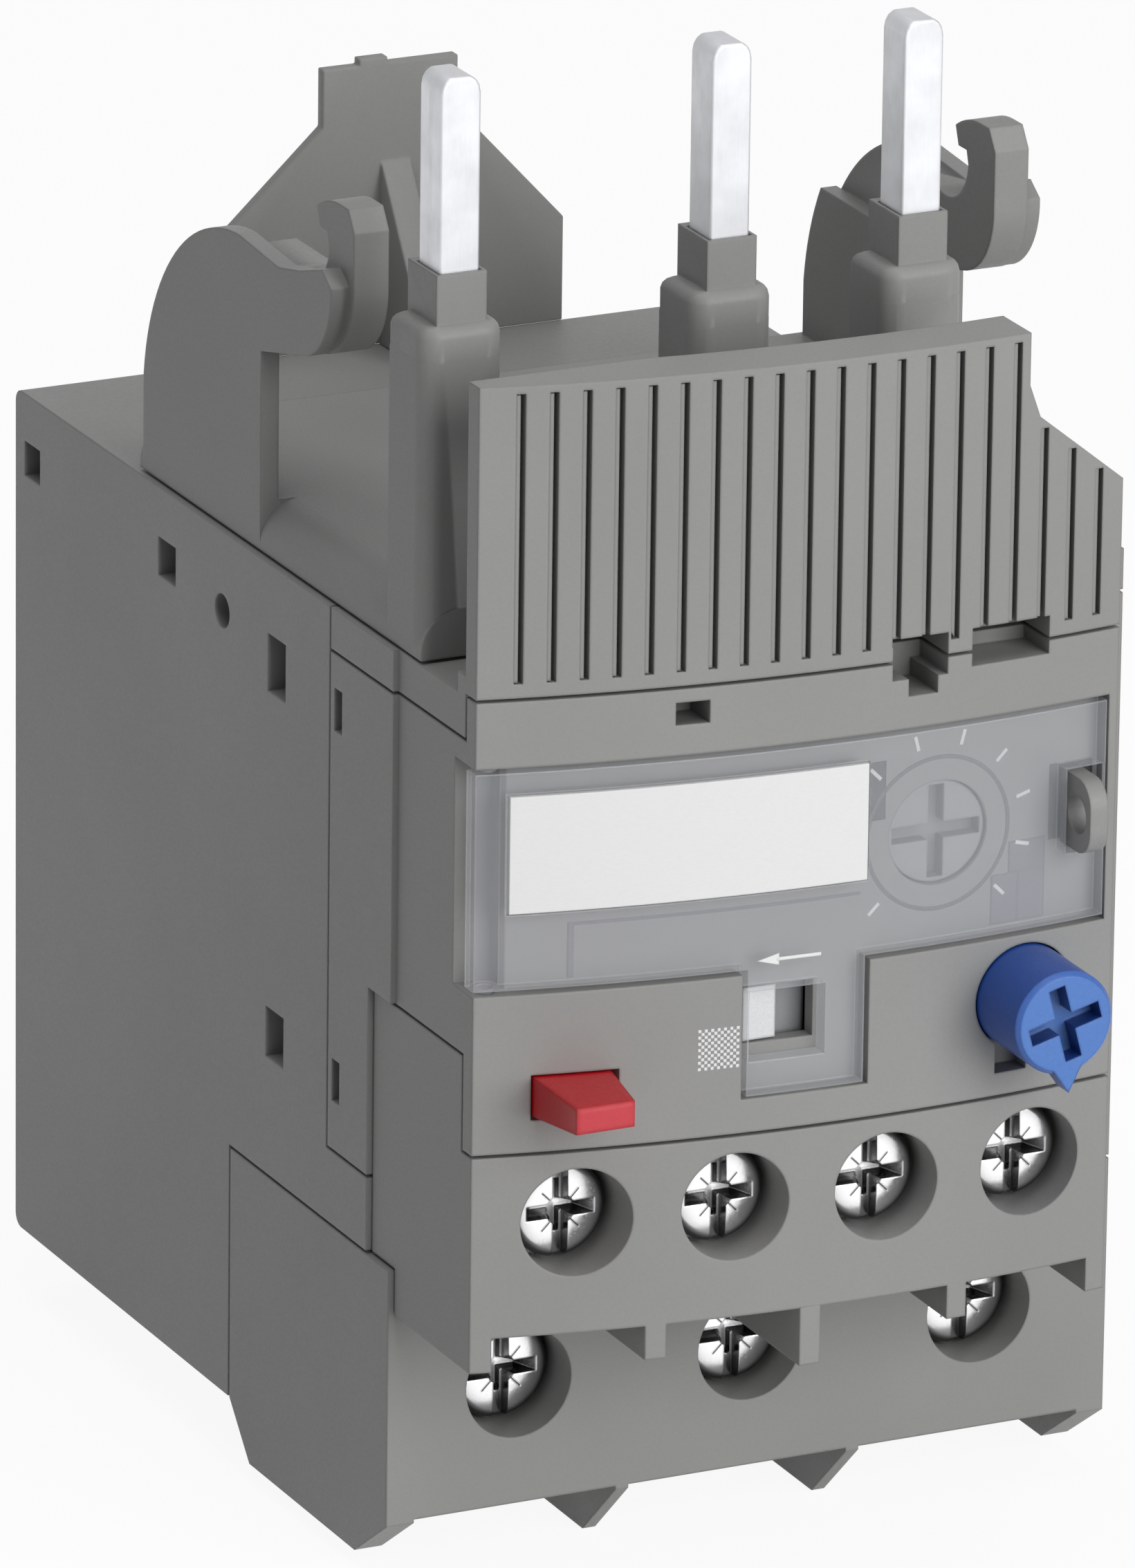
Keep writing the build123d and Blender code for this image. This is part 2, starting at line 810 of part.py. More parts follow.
# Hinged clear cover with tab, window and pivot pins
def setting_cover():
    low = cover_bottom + cover_gap
    high = cover_top - cover_gap
    shell = nose_shell(nose_left, cover_right, 0, cover_thick, low, high)
    shell += nose_shell(tab_left + cover_gap, tab_right - cover_gap, 0, cover_thick, tab_bottom, low + 1)
    shell += rod_z(hinge_x, hinge_depth, hinge_radius, low, high)
    shell += rod_z(hinge_x, hinge_depth, hinge_pin_radius, low - hinge_pin_length, high + hinge_pin_length)
    shell -= nose_shell(
        slider_left - window_margin,
        window_right,
        -1,
        cover_thick + 1,
        slider_low - 3 * window_margin,
        slider_high + window_margin,
    )
    shell -= nose_shell(
        label_left - 0.1, label_right + 0.1, -1, label_thick - label_proud, label_bottom - 0.1, label_top + 0.1
    )
    shell -= block(
        seal_x - play,
        seal_x + seal_thick + seal_swing,
        body_depth,
        nose_front + 1,
        seal_low - play,
        seal_high + play,
    )
    return shell


def marker_label():
    return nose_shell(
        label_left, label_right, -label_proud, label_thick - label_proud, label_bottom, label_top
    )


# Seal lug: a flat ear with an eye, standing out through the cover
def seal_lug():
    foot_depth = nose_depth(seal_x) - cover_thick - cover_gap
    reach = nose_depth(seal_x) + seal_reach
    middle = (seal_low + seal_high) / 2
    ear = block(seal_x, seal_x + seal_thick, foot_depth, reach, seal_low, seal_high)
    round_edges = ear.edges().filter_by(Axis.X).group_by(Axis.Y)[0]
    ear = fillet(round_edges, 1.5)
    return ear - rod_x(reach - 1.6, middle, seal_hole, seal_x - 1, seal_x + seal_thick + 1)


# Setting dial with cross recess, and the cam on its shaft
def setting_dial():
    face = nose_depth(dial_x) - cover_thick - cover_gap - dial_face_inset
    disc = rod_y(dial_x, dial_height, dial_radius, face - dial_thick, face)
    disc += rod_y(dial_x, dial_height, dial_shaft_radius, chassis_back - 2.8, face)
    for long_x, long_z in ((cross_arm, cross_width / 2), (cross_width / 2, cross_arm)):
        disc -= block(
            dial_x - long_x,
            dial_x + long_x,
            face - cross_depth,
            face + 1,
            dial_height - long_z,
            dial_height + long_z,
        )
    return disc


def dial_cam():
    back = chassis_back - 2.4
    plane = Plane.XZ.offset(back)
    lobe = plane * Pos(dial_x, z_of(dial_height)) * (Circle(2.4) + Pos(1.1, 0) * Circle(1.9))
    cam = extrude(lobe, amount=1.8)
    return cam - rod_y(dial_x, dial_height, dial_shaft_radius, back - 1, back + 3)


def test_slider():
    front = nose_depth(slider_left) - cover_thick - cover_gap - 0.1
    middle = (slider_low + slider_high) / 2
    right = slider_left + slider_width
    foot_front = nose_depth(slider_left - slider_foot, slider_skin) - slip
    foot_back = foot_front - 1.2
    knob = block(slider_left, right, foot_front - 0.2, front, slider_low, slider_high)
    plate = block(
        slider_left - slider_foot, right + slider_foot, foot_back, foot_front, middle - 2.4, middle + 2.4
    )
    return knob + plate


def stop_button():
    base_depth = nose_depth(stop_left) - 1.0
    face_depth = nose_depth(stop_left) + stop_reach
    base_plane = Plane.XZ.offset(base_depth)
    face_plane = Plane.XZ.offset(face_depth)
    base = base_plane * Pos((stop_left + stop_right) / 2, z_of((stop_low + stop_high) / 2))
    base *= Rectangle(stop_right - stop_left, stop_high - stop_low)
    face = face_plane * Pos((stop_left + stop_face_right) / 2, z_of((stop_face_low + stop_high) / 2))
    face *= Rectangle(stop_face_right - stop_left, stop_high - stop_face_low)
    cap = loft([base, face])
    stem_x = (stop_left + stop_right) / 2
    stem_height = (stop_low + stop_high) / 2
    cap += block(stop_left, stop_right, stop_flange, base_depth, stop_low, stop_high)
    cap += block(
        stop_left - flange_lip,
        stop_right + flange_lip,
        stop_flange,
        stop_flange + flange_thick,
        stop_low - flange_lip + 0.2,
        stop_high + flange_lip,
    )
    cap += flat_rod_y(stem_x, stem_height, stem_radius, chassis_back - stem_tail, stop_flange + 0.5)
    return cap


def reset_plunger():
    shoulder = reset_flange + flange_thick
    plunger = flat_rod_y(reset_x, reset_height, stem_radius, chassis_back - stem_tail, reset_flange + 0.1)
    plunger += flat_rod_y(reset_x, reset_height, reset_radius + 0.7, reset_flange, shoulder)
    return plunger + rod_y(reset_x, reset_height, spigot_radius, shoulder - 0.1, shoulder + spigot_length)


# Reset knob with its pointer and cross recess, free to turn on the plunger's spigot
def reset_knob():
    front = nose_depth(reset_x) + reset_reach
    back = reset_flange + flange_thick + slip
    knob = rod_y(reset_x, reset_height, reset_radius, back, front)
    knob = chamfer(knob.edges().sort_by(Axis.Y)[0], 0.25)
    tip = reset_height - reset_radius - pointer_reach
    root = reset_height - reset_radius + 0.5
    half_width = pointer_width / 2
    fin = [(reset_x - half_width, root), (reset_x + 0.3, tip), (reset_x + half_width + 0.3, root)]
    knob += front_shape(fin, front - pointer_depth, front)
    for turn in (-15, 75):
        arm = Plane.XZ.offset(front - 1.3) * Pos(reset_x, z_of(reset_height)) * Rot(0, 0, -turn)
        knob -= extrude(arm * Rectangle(4.4, 1.0), amount=3)
    bore_end = reset_flange + flange_thick + spigot_length + 0.2
    return knob - rod_y(reset_x, reset_height, spigot_radius + 0.08, back - 1, bore_end)


# Chassis plate behind the front panel: guides for the stems and the dial shaft
def mechanism_plate():
    front = chassis_back + chassis_thick
    reach = cavity_half - 0.1
    plate = block(-reach, reach, chassis_back, front, chassis_bottom, deck_bottom)
    plate -= block(-half, nose_left + side_wall + seam, 0, nose_front, 0, wing_top + seam)
    plate -= rod_y(dial_x, dial_height, dial_shaft_radius + slip, chassis_back - 1, front + 1)
    plate -= rod_y(reset_x, reset_height, stem_radius + slip, chassis_back - 1, front + 1)
    plate -= rod_y(
        lever_pivot_x, lever_pivot_height, lever_shaft_radius + slip, chassis_back - 1, front + 1
    )
    stem_x = (stop_left + stop_right) / 2
    stem_height = (stop_low + stop_high) / 2
    plate -= rod_y(stem_x, stem_height, stem_radius + slip, chassis_back - 1, front + 1)
    for x in blade_x:
        plate -= block(x - 1.7, x + 1.7, chassis_back - 1, front + 1, bimetal_top - play, deck_bottom + 1)
    return plate


# Return springs: coils round the stems, in front of the chassis plate
def coil_spring(x, height, radius, depth1, turns):
    depth0 = chassis_back + chassis_thick + spring_wire / 2
    steps = turns * spring_sides
    rise = (depth1 - depth0 - spring_wire / 2) / steps
    points = []
    for k in range(steps + 1):
        angle = 2 * math.pi * k / spring_sides
        across = x + radius * math.cos(angle)
        up = z_of(height) + radius * math.sin(angle)
        points.append((across, -(depth0 + rise * k), up))
    path = Polyline(*points)
    start = Plane(origin=path @ 0, z_dir=path % 0)
    return sweep(start * Rectangle(spring_wire, spring_wire), path=path, transition=Transition.RIGHT)


# Screws: flat heads with a cross recess, on plain shanks
def screw(x, height, head_radius, head_thick, shank_radius, seat, tail, arm):
    front = seat + head_thick
    head = rod_y(x, height, head_radius, seat, front)
    middle = z_of(height)
    for wide, tall in ((2 * arm, screw_slot), (screw_slot, 2 * arm)):
        head -= Pos(x, -front, middle) * Box(wide, 2 * screw_recess, tall)
    return head + flat_rod_y(x, height, shank_radius, tail, seat + 0.1)


def screw_group(screws):
    whole = screws[0]
    for item in screws[1:]:
        whole = Compound(children=list(whole.solids()) + list(item.solids()))
    return whole


def aux_screws():
    items = []
    for x in aux_x:
        seat = nose_depth(x) - aux_recess - aux_head_thick + 0.02
        items.append(
            screw(
                x, aux_height, aux_head_radius, aux_head_thick - 0.1, aux_screw_radius, seat, rail_plate - rail_thick, 2.2
            )
        )
    return screw_group(items)


def main_screws():
    items = []
    for x in pole_x:
        seat = body_depth - main_recess - main_head_thick + 0.02
        items.append(
            screw(x, main_height, main_head_radius, main_head_thick, main_screw_radius, seat, 43.2, 2.3)
        )
    return screw_group(items)


# Clamp cages round each main wire, and their terminal bars
def clamp_cages():
    items = []
    for x in pole_x:
        cage = block(x - 3.9, x + 3.9, 37.0, 45.6, 6.9, 14.2)
        cage -= block(x - 3.1, x + 3.1, 38.0, 44.0, 6, 15)
        cage -= flat_rod_y(x, main_height, main_screw_radius + slip, 43, 47)
        items.append(cage)
    return screw_group(items)


def terminal_bars():
    items = []
    for x in pole_x:
        bar = block(x - 2.1, x + 2.1, 38.05, 39.05, 7.6, 22.4)
        bar += block(x - 2.1, x + 2.1, 31.0, 38.6, 21.4, 22.4)
        items.append(bar)
    return screw_group(items)


def bimetal_strip(i):
    x = pole_x[i]
    half_width = bimetal_width / 2
    strip = block(
        x - bimetal_thick / 2,
        x + bimetal_thick / 2,
        bimetal_depth - half_width,
        bimetal_depth + half_width,
        bimetal_bottom,
        bimetal_top,
    )
    return strip


# Heater winding: square wire wound flat round the strip, one lead up, one down
def heater_winding(i):
    x = pole_x[i]
    across = bimetal_thick / 2 + coil_gap + coil_wire / 2
    along = bimetal_width / 2 + coil_gap + coil_wire / 2
    corners = [(-across, -along), (across, -along), (across, along), (-across, along)]
    points = []
    for k in range(4 * coil_count + 1):
        side, depth = corners[k % 4]
        rise = coil_pitch * k / 4
        points.append((x + side, -(bimetal_depth + depth), z_of(coil_low + rise)))
    last = points[-1]
    upper = [(last[0], last[1], z_of(bimetal_top))]
    lower = [(points[0][0], -lead_depth, z_of(coil_low)), (points[0][0], -lead_depth, z_of(lead_low))]
    path = Polyline(*(list(reversed(lower)) + points + upper))
    start = Plane(origin=path @ 0, z_dir=path % 0)
    return sweep(start * Rectangle(coil_wire, coil_wire), path=path, transition=Transition.RIGHT)


# Trip bars: two slides with a slot for each strip, open behind the strip by the bars' travel
def slide_bar(low, left, right):
    bar = block(
        left, right, bimetal_depth - bar_width / 2, bimetal_depth + bar_width / 2, low, low + bar_thick
    )
    for x in pole_x:
        bar -= block(
            x - bimetal_thick / 2 - play - trip_travel,
            x + bimetal_thick / 2 + play,
            bimetal_depth - bimetal_width / 2 - play,
            bimetal_depth + bimetal_width / 2 + play,
            low - 1,
            low + bar_thick + 1,
        )
    return bar


# Trip lever on its shaft, with the ambient strip that the trip bar pushes
def trip_lever():
    x = lever_pivot_x
    height = lever_pivot_height
    lever = flat_rod_y(x, height, lever_shaft_radius, 21.0, chassis_back + 1.0)
    lever += flat_rod_y(x, height, lever_hub_radius, 24.6, 30.0)
    lever += flat_rod_y(x, height, lever_hub_radius, contact_back, contact_front)
    lever += block(x - lever_arm, x, contact_back, contact_front, height - 0.8, height + 0.8)
    return lever - ambient_strip()


def ambient_strip():
    left = bar_right + 0.35
    return block(
        left,
        left + ambient_thick,
        bimetal_depth - 2.2,
        bimetal_depth + 2.2,
        bar_low - 0.4,
        lever_pivot_height - lever_shaft_radius - 0.2,
    )


# Contact carrier: a bar under the lever's arm with a post at its right end
def contact_carrier():
    bar = block(
        carrier_bar_left, post_left + post_width, contact_back, contact_front, carrier_low, carrier_high
    )
    arm_under = lever_pivot_height - 0.8
    post = block(
        post_left, post_left + post_width, contact_back, contact_front, carrier_high, arm_under - 0.1
    )
    return bar + post


def contact_bridge(places, low):
    left = min(places) - tip_radius
    right = max(places) + tip_radius
    return block(left, right, contact_back, contact_front, low, low + bridge_thick)


# Terminal rails: one per auxiliary screw, each ending at a fixed contact
def terminal_rails():
    items = []
    for x, spot, closed in zip(aux_x, contact_x, contact_closed):
        rail = block(
            x - 2.6, x + 2.6, rail_plate - rail_thick, rail_plate, aux_height - 2.9, aux_height + 2.3
        )
        rail += block(x - 1.4, x + 1.4, rail_depth, rail_plate, rail_low, rail_low + rail_thick)
        rail -= flat_rod_y(x, aux_height, aux_screw_radius, rail_plate - 2, rail_plate + 1)
        rail += block(
            min(x, spot) - 1.1, max(x, spot) + 1.1, rail_depth, rail_depth + 1, rail_low, rail_low + rail_thick
        )
        flange = tip_height(closed) + (tip_thick if closed else -1.0)
        rail += block(spot - 1.1, spot + 1.1, rail_depth, rail_depth + 1, rail_low, flange + 1.0)
        rail += block(spot - 1.1, spot + 1.1, contact_back, rail_depth + 1, flange, flange + 1.0)
        items.append(rail)
    return screw_group(items)


def tip_height(closed):
    if closed:
        return carrier_high + bridge_thick
    return carrier_low - bridge_thick - contact_gap - tip_thick


def fixed_tips():
    middle = (contact_back + contact_front) / 2
    items = []
    for spot, closed in zip(contact_x, contact_closed):
        low = tip_height(closed)
        items.append(flat_rod_z(spot, middle, tip_radius / 1.5, low, low + tip_thick))
    return screw_group(items)


def clamp_plates():
    items = []
    for x in aux_x:
        seat = nose_depth(x) - aux_recess - aux_head_thick
        plate = block(x - 2.8, x + 2.8, seat - 1.3, seat - 0.3, aux_height - 3.5, aux_height + 2.6)
        items.append(plate - flat_rod_y(x, aux_height, aux_screw_radius + 0.1, seat - 3, seat + 1))
    return screw_group(items)


save("rear_housing", rear_housing())
save("main_terminal_block", main_terminal_block())
save("aux_terminal_block", aux_terminal_block())
save("front_housing", front_housing())
save("grille_panel", grille_panel())
save("top_carrier", top_carrier())
save("rear_plate", rear_plate())
for i, name in enumerate(("left", "middle", "right")):
    save(f"contact_blade_{name}", blade(i))
    save(f"bimetal_strip_{name}", bimetal_strip(i))
    save(f"heater_winding_{name}", heater_winding(i))
save("setting_cover", setting_cover())
save("marker_label", marker_label())
save("seal_lug", seal_lug())
save("setting_dial", setting_dial())
save("dial_cam", dial_cam())
save("test_slider", test_slider())
save("stop_button", stop_button())
save("reset_plunger", reset_plunger())
save("reset_knob", reset_knob())
save("mechanism_plate", mechanism_plate())
save("reset_spring", coil_spring(reset_x, reset_height, 1.6, reset_flange, 5))
stop_stem_x = (stop_left + stop_right) / 2
stop_stem_height = (stop_low + stop_high) / 2
save("stop_spring", coil_spring(stop_stem_x, stop_stem_height, 1.4, stop_flange, 4))
save("aux_terminal_screws", aux_screws())
save("main_terminal_screws", main_screws())
save("main_clamp_cages", clamp_cages())
save("terminal_bars", terminal_bars())
save("trip_bar", slide_bar(bar_low, bar_left, bar_right))
save("differential_bar", slide_bar(bar_low + bar_thick + bar_gap, bar_left, bar_right - 2.0))
save("contact_carrier", contact_carrier())
closed_x = [x for x, closed in zip(contact_x, contact_closed) if closed]
open_x = [x for x, closed in zip(contact_x, contact_closed) if not closed]
save("closed_contact_bridge", contact_bridge(closed_x, carrier_high))
save("open_contact_bridge", contact_bridge(open_x, carrier_low - bridge_thick))
save("fixed_contact_tips", fixed_tips())
save("aux_terminal_rails", terminal_rails())
save("aux_clamp_plates", clamp_plates())
save("trip_lever", trip_lever())
save("ambient_strip", ambient_strip())
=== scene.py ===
import json
import math

import bmesh
import bpy
from mathutils import Matrix, Vector


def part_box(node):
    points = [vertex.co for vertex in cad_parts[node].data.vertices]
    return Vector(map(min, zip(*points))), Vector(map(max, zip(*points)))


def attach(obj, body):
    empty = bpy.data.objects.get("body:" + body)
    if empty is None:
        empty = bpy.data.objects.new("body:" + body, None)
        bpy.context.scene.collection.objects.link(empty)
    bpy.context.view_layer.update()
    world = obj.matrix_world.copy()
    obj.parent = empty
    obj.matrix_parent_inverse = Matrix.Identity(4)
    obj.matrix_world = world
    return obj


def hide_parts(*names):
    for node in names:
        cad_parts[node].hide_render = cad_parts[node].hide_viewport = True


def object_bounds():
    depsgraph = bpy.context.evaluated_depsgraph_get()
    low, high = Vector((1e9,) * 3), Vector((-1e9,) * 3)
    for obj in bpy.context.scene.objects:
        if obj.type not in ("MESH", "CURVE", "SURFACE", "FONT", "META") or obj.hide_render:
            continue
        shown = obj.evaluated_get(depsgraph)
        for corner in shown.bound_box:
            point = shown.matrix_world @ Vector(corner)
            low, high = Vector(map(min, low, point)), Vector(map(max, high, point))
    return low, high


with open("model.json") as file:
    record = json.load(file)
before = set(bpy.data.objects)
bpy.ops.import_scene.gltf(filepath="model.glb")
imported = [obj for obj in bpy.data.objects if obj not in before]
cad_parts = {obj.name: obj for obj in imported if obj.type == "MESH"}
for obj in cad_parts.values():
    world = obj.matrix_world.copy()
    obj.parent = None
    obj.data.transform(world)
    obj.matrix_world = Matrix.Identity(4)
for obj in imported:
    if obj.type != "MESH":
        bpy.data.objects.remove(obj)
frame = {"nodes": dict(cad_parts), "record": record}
cad_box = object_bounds()

MM = 0.001
SEAT = 76.5


def place(x, depth, height):
    """A point given like in the drawing: across, in front of the rear plane, above the feet, in mm."""
    return Vector((x, -depth, height - SEAT)) * MM


def linear(level):
    """A screen level from 0 to 255 as a linear colour value."""
    level = level / 255
    return level / 12.92 if level <= 0.04045 else ((level + 0.055) / 1.055) ** 2.4


def colour(red, green, blue):
    return (linear(red), linear(green), linear(blue), 1.0)


def shade(base, factor):
    """The same colour, darker or lighter."""
    return tuple(min(1.0, part * factor) for part in base[:3]) + (1.0,)


# Shader sums


class Value:
    """One output of a node, with arithmetic that adds Math nodes."""

    def __init__(self, graph, socket):
        self.graph = graph
        self.socket = socket

    def sum(self, operation, first, second):
        return self.graph.node("ShaderNodeMath", {"operation": operation}, {0: first, 1: second})

    def __add__(self, other):
        return self.sum("ADD", self, other)

    def __radd__(self, other):
        return self.sum("ADD", other, self)

    def __mul__(self, other):
        return self.sum("MULTIPLY", self, other)

    def __rmul__(self, other):
        return self.sum("MULTIPLY", other, self)


class Graph:
    """A node tree with one method that adds any node."""

    def __init__(self, tree):
        self.tree = tree

    def node(self, kind, settings=None, inputs=None, output=0):
        made = self.tree.nodes.new(kind)
        for key, setting in (settings or {}).items():
            setattr(made, key, setting)
        for key, value in (inputs or {}).items():
            self.feed(made.inputs[key], value)
        return Value(self, made.outputs[output])

    def feed(self, socket, value):
        if isinstance(value, Value):
            self.tree.links.new(value.socket, socket)
        else:
            socket.default_value = value

    def ray(self, kind):
        """1 for rays of this kind, such as those from the camera."""
        return self.node("ShaderNodeLightPath", output=f"Is {kind} Ray")


class Finish(Graph):
    """A material built round one Principled shader."""

    def __init__(self, name):
        self.material = bpy.data.materials.new(name)
        self.material.use_nodes = True
        super().__init__(self.material.node_tree)
        self.shader = self.tree.nodes["Principled BSDF"]

    def set(self, **values):
        for key, value in values.items():
            self.feed(self.shader.inputs[key.replace("_", " ")], value)

    def where(self):
        """Place on the piece in its own axes, in millimetres."""
        spot = self.node("ShaderNodeTexCoord", output="Object")
        settings = {"operation": "SCALE"}
        return self.node("ShaderNodeVectorMath", settings, {0: spot, "Scale": 1 / MM})

    def stretched(self, spot, across, along, up):
        inputs = {0: spot, 1: (across, along, up)}
        return self.node("ShaderNodeVectorMath", {"operation": "MULTIPLY"}, inputs)

    def noise(self, spot, scale, detail=2.0, rough=0.5):
        inputs = {"Vector": spot, "Scale": scale, "Detail": detail, "Roughness": rough}
        return self.node("ShaderNodeTexNoise", {"noise_dimensions": "3D"}, inputs)

    def spread(self, value, low, high, new_low, new_high):
        inputs = {0: value, 1: low, 2: high, 3: new_low, 4: new_high}
        return self.node("ShaderNodeMapRange", {"clamp": True}, inputs)

    def blend(self, factor, first, second):
        settings = {"data_type": "RGBA"}
        return self.node("ShaderNodeMix", settings, {0: factor, 6: first, 7: second}, output=2)

    def rounded(self, radius):
        return self.node("ShaderNodeBevel", {"samples": 4}, {"Radius": radius * MM})

    def bump(self, height, depth, strength, base):
        inputs = {"Height": height, "Distance": depth * MM, "Strength": strength, "Normal": base}
        return self.node("ShaderNodeBump", None, inputs)

    def open_sky(self, reach, alone=True):
        """1 on open faces, falling to 0 deep in grooves, wells and recesses."""
        settings = {"samples": 8, "only_local": alone}
        inputs = {"Distance": reach * MM}
        return self.node("ShaderNodeAmbientOcclusion", settings, inputs, output="AO")

    def facing_front(self):
        """1 on faces that look to the front of the piece, 0 on its sides."""
        normal = self.node("ShaderNodeTexCoord", output="Normal")
        split = self.node("ShaderNodeSeparateXYZ", inputs={0: normal}, output="Y")
        return self.spread(split, -0.6, -0.85, 0.0, 1.0)

    def ahead_of(self, line):
        """1 on the part of the piece in front of an upright plane, at its own y in mm."""
        y = self.node("ShaderNodeSeparateXYZ", inputs={0: self.where()}, output="Y")
        return self.spread(y, line + 0.03, line - 0.03, 0.0, 1.0)

    def edge(self, radius):
        """1 on outer and inner edges, 0 on flats."""
        bevelled = self.rounded(radius)
        flat = self.node("ShaderNodeNewGeometry", output="Normal")
        settings = {"operation": "DOT_PRODUCT"}
        along = self.node("ShaderNodeVectorMath", settings, {0: bevelled, 1: flat}, output="Value")
        return self.spread(along, 0.98, 0.80, 0.0, 1.0)


# Finishes: noise scales are in waves per millimetre of the piece

MOULDED_CLOUD = 0.07
MOULDED_SPECKLE = 5.5
MOULDED_GRAIN = 4.2
MOULDED_SHEEN = 0.42
METAL_LINES = 7.0
METAL_CLOUD = 0.45
METAL_RECESS_REACH = 1.6
CLEAR_WIPES = 1.1
CLEAR_WAVES = 0.5
CLEAR_SOLIDITY = 0.2
CLEAR_EDGE_SOLIDITY = 0.3
PAPER_FIBRE = 6.0


def moulded(
    name,
    base,
    gloss=0.52,
    grain=0.012,
    painted_edge_highlight=1.12,
    radius=0.22,
    front=None,
    front_from=None,
    painted_recess_shade=0.42,
    reach=2.6,
):
    """Injection-moulded plastic: eroded grain, faint flow marks, painted highlights on rounded edges,
    painted shade in recesses.

    A second colour, front, goes on the faces that look to the front, where it is painted light
    and sheen, or on what lies ahead of front_from.
    """
    made = Finish(name)
    spot = made.where()
    cloud = made.noise(spot, MOULDED_CLOUD, 3.0)
    speckle = made.noise(spot, MOULDED_SPECKLE, 2.0)
    tone = made.spread(cloud, 0.3, 0.7, 0.0, 1.0)
    body = made.blend(tone, shade(base, 0.955), shade(base, 1.035))
    if front:
        faced = made.blend(tone, shade(front, 0.955), shade(front, 1.035))
        mask = made.ahead_of(front_from) if front_from else made.facing_front()
        body = made.blend(mask, body, faced)
    dots = made.spread(speckle, 0.35, 0.65, 0.0, 0.10)
    body = made.blend(dots, body, shade(base, 0.72))
    # Painted highlight: the colour is lighter on rounded edges.
    body = made.blend(made.edge(radius) * 0.55, body, shade(base, painted_edge_highlight))
    # Painted shade: the colour darkens deep in grooves, wells and recesses.
    deep = made.spread(made.open_sky(reach), 0.25, 0.85, painted_recess_shade, 0.0)
    body = made.blend(deep, body, shade(base, 0.1))
    fine = made.noise(spot, MOULDED_GRAIN, 3.0, 0.6)
    normal = made.bump(fine, grain, 0.55, made.rounded(radius))
    rough = made.spread(speckle, 0.3, 0.7, gloss - 0.05, gloss + 0.06)
    made.set(Base_Color=body, Roughness=rough, Normal=normal, Specular_IOR_Level=MOULDED_SHEEN)
    return made.material


def metal(name, base, gloss, streak=(1.0, 1.0, 1.0), depth=0.004, mark=0.10, painted_recess_shade=0.0):
    """Bare or plated metal: drawn streaks, dull spots, broken edges and painted shade in recesses."""
    made = Finish(name)
    spot = made.where()
    lines = made.noise(made.stretched(spot, *streak), METAL_LINES, 4.0, 0.6)
    cloud = made.noise(spot, METAL_CLOUD, 3.0)
    tone = made.spread(cloud, 0.35, 0.7, 0.0, 1.0)
    body = made.blend(tone, base, shade(base, 1.0 - mark))
    # Painted shade: the colour darkens in recesses and where other pieces close round the piece.
    if painted_recess_shade:
        deep = made.spread(made.open_sky(METAL_RECESS_REACH, alone=False), 0.35, 0.93, painted_recess_shade, 0.0)
        body = made.blend(deep, body, shade(base, 0.04))
    rough = made.spread(lines, 0.3, 0.7, gloss - 0.05, gloss + 0.08)
    normal = made.bump(lines, depth, 0.5, made.rounded(0.15))
    made.set(Base_Color=body, Roughness=rough + tone * 0.05, Metallic=1.0, Normal=normal)
    return made.material


def clear_plastic(name):
    """Clear polycarbonate, milky with wear, with faint wipe marks, and denser edges with a painted
    highlight.
    """
    made = Finish(name)
    spot = made.where()
    wipes = made.noise(made.stretched(spot, 0.25, 1.0, 1.4), CLEAR_WIPES, 3.0)
    edge = made.edge(0.18)
    # Painted highlight: the colour is lighter on the edges.
    body = made.blend(edge, colour(216, 218, 223), colour(236, 238, 242))
    body = made.blend(made.spread(wipes, 0.4, 0.75, 0.0, 0.3), body, colour(204, 206, 211))
    rough = made.spread(wipes, 0.4, 0.75, 0.08, 0.18)
    normal = made.bump(made.noise(spot, CLEAR_WAVES, 2.0), 0.006, 0.2, made.rounded(0.15))
    solidity = edge * CLEAR_EDGE_SOLIDITY + CLEAR_SOLIDITY
    made.set(Base_Color=body, Roughness=rough, Normal=normal, Alpha=solidity)
    made.set(Specular_IOR_Level=0.5)
    return made.material


def paper(name, base):
    """Matt white card or print, with a faint fibre."""
    made = Finish(name)
    spot = made.where()
    fibre = made.noise(made.stretched(spot, 0.5, 1.0, 1.6), PAPER_FIBRE, 4.0, 0.65)
    tone = made.spread(fibre, 0.3, 0.7, 0.0, 1.0)
    body = made.blend(tone, base, shade(base, 0.965))
    rough = made.spread(fibre, 0.3, 0.7, 0.42, 0.55)
    normal = made.bump(fibre, 0.004, 0.4, made.rounded(0.1))
    made.set(Base_Color=body, Roughness=rough, Normal=normal)
    return made.material


# The slider's knob is white, and its foot behind this depth is grey
KNOB_FROM = 62.6
knob_line = -KNOB_FROM - frame["nodes"]["test_slider"].matrix_world.translation[1] / MM

EVEN = (1.0, 1.0, 1.0)
DRAWN_UP = (1.0, 1.0, 0.12)
ROLLED_UP = (1.0, 1.0, 0.1)
WOUND = (0.3, 0.3, 1.0)
STAMPED = (1.0, 0.2, 1.0)
COILED = (1.0, 0.3, 1.0)

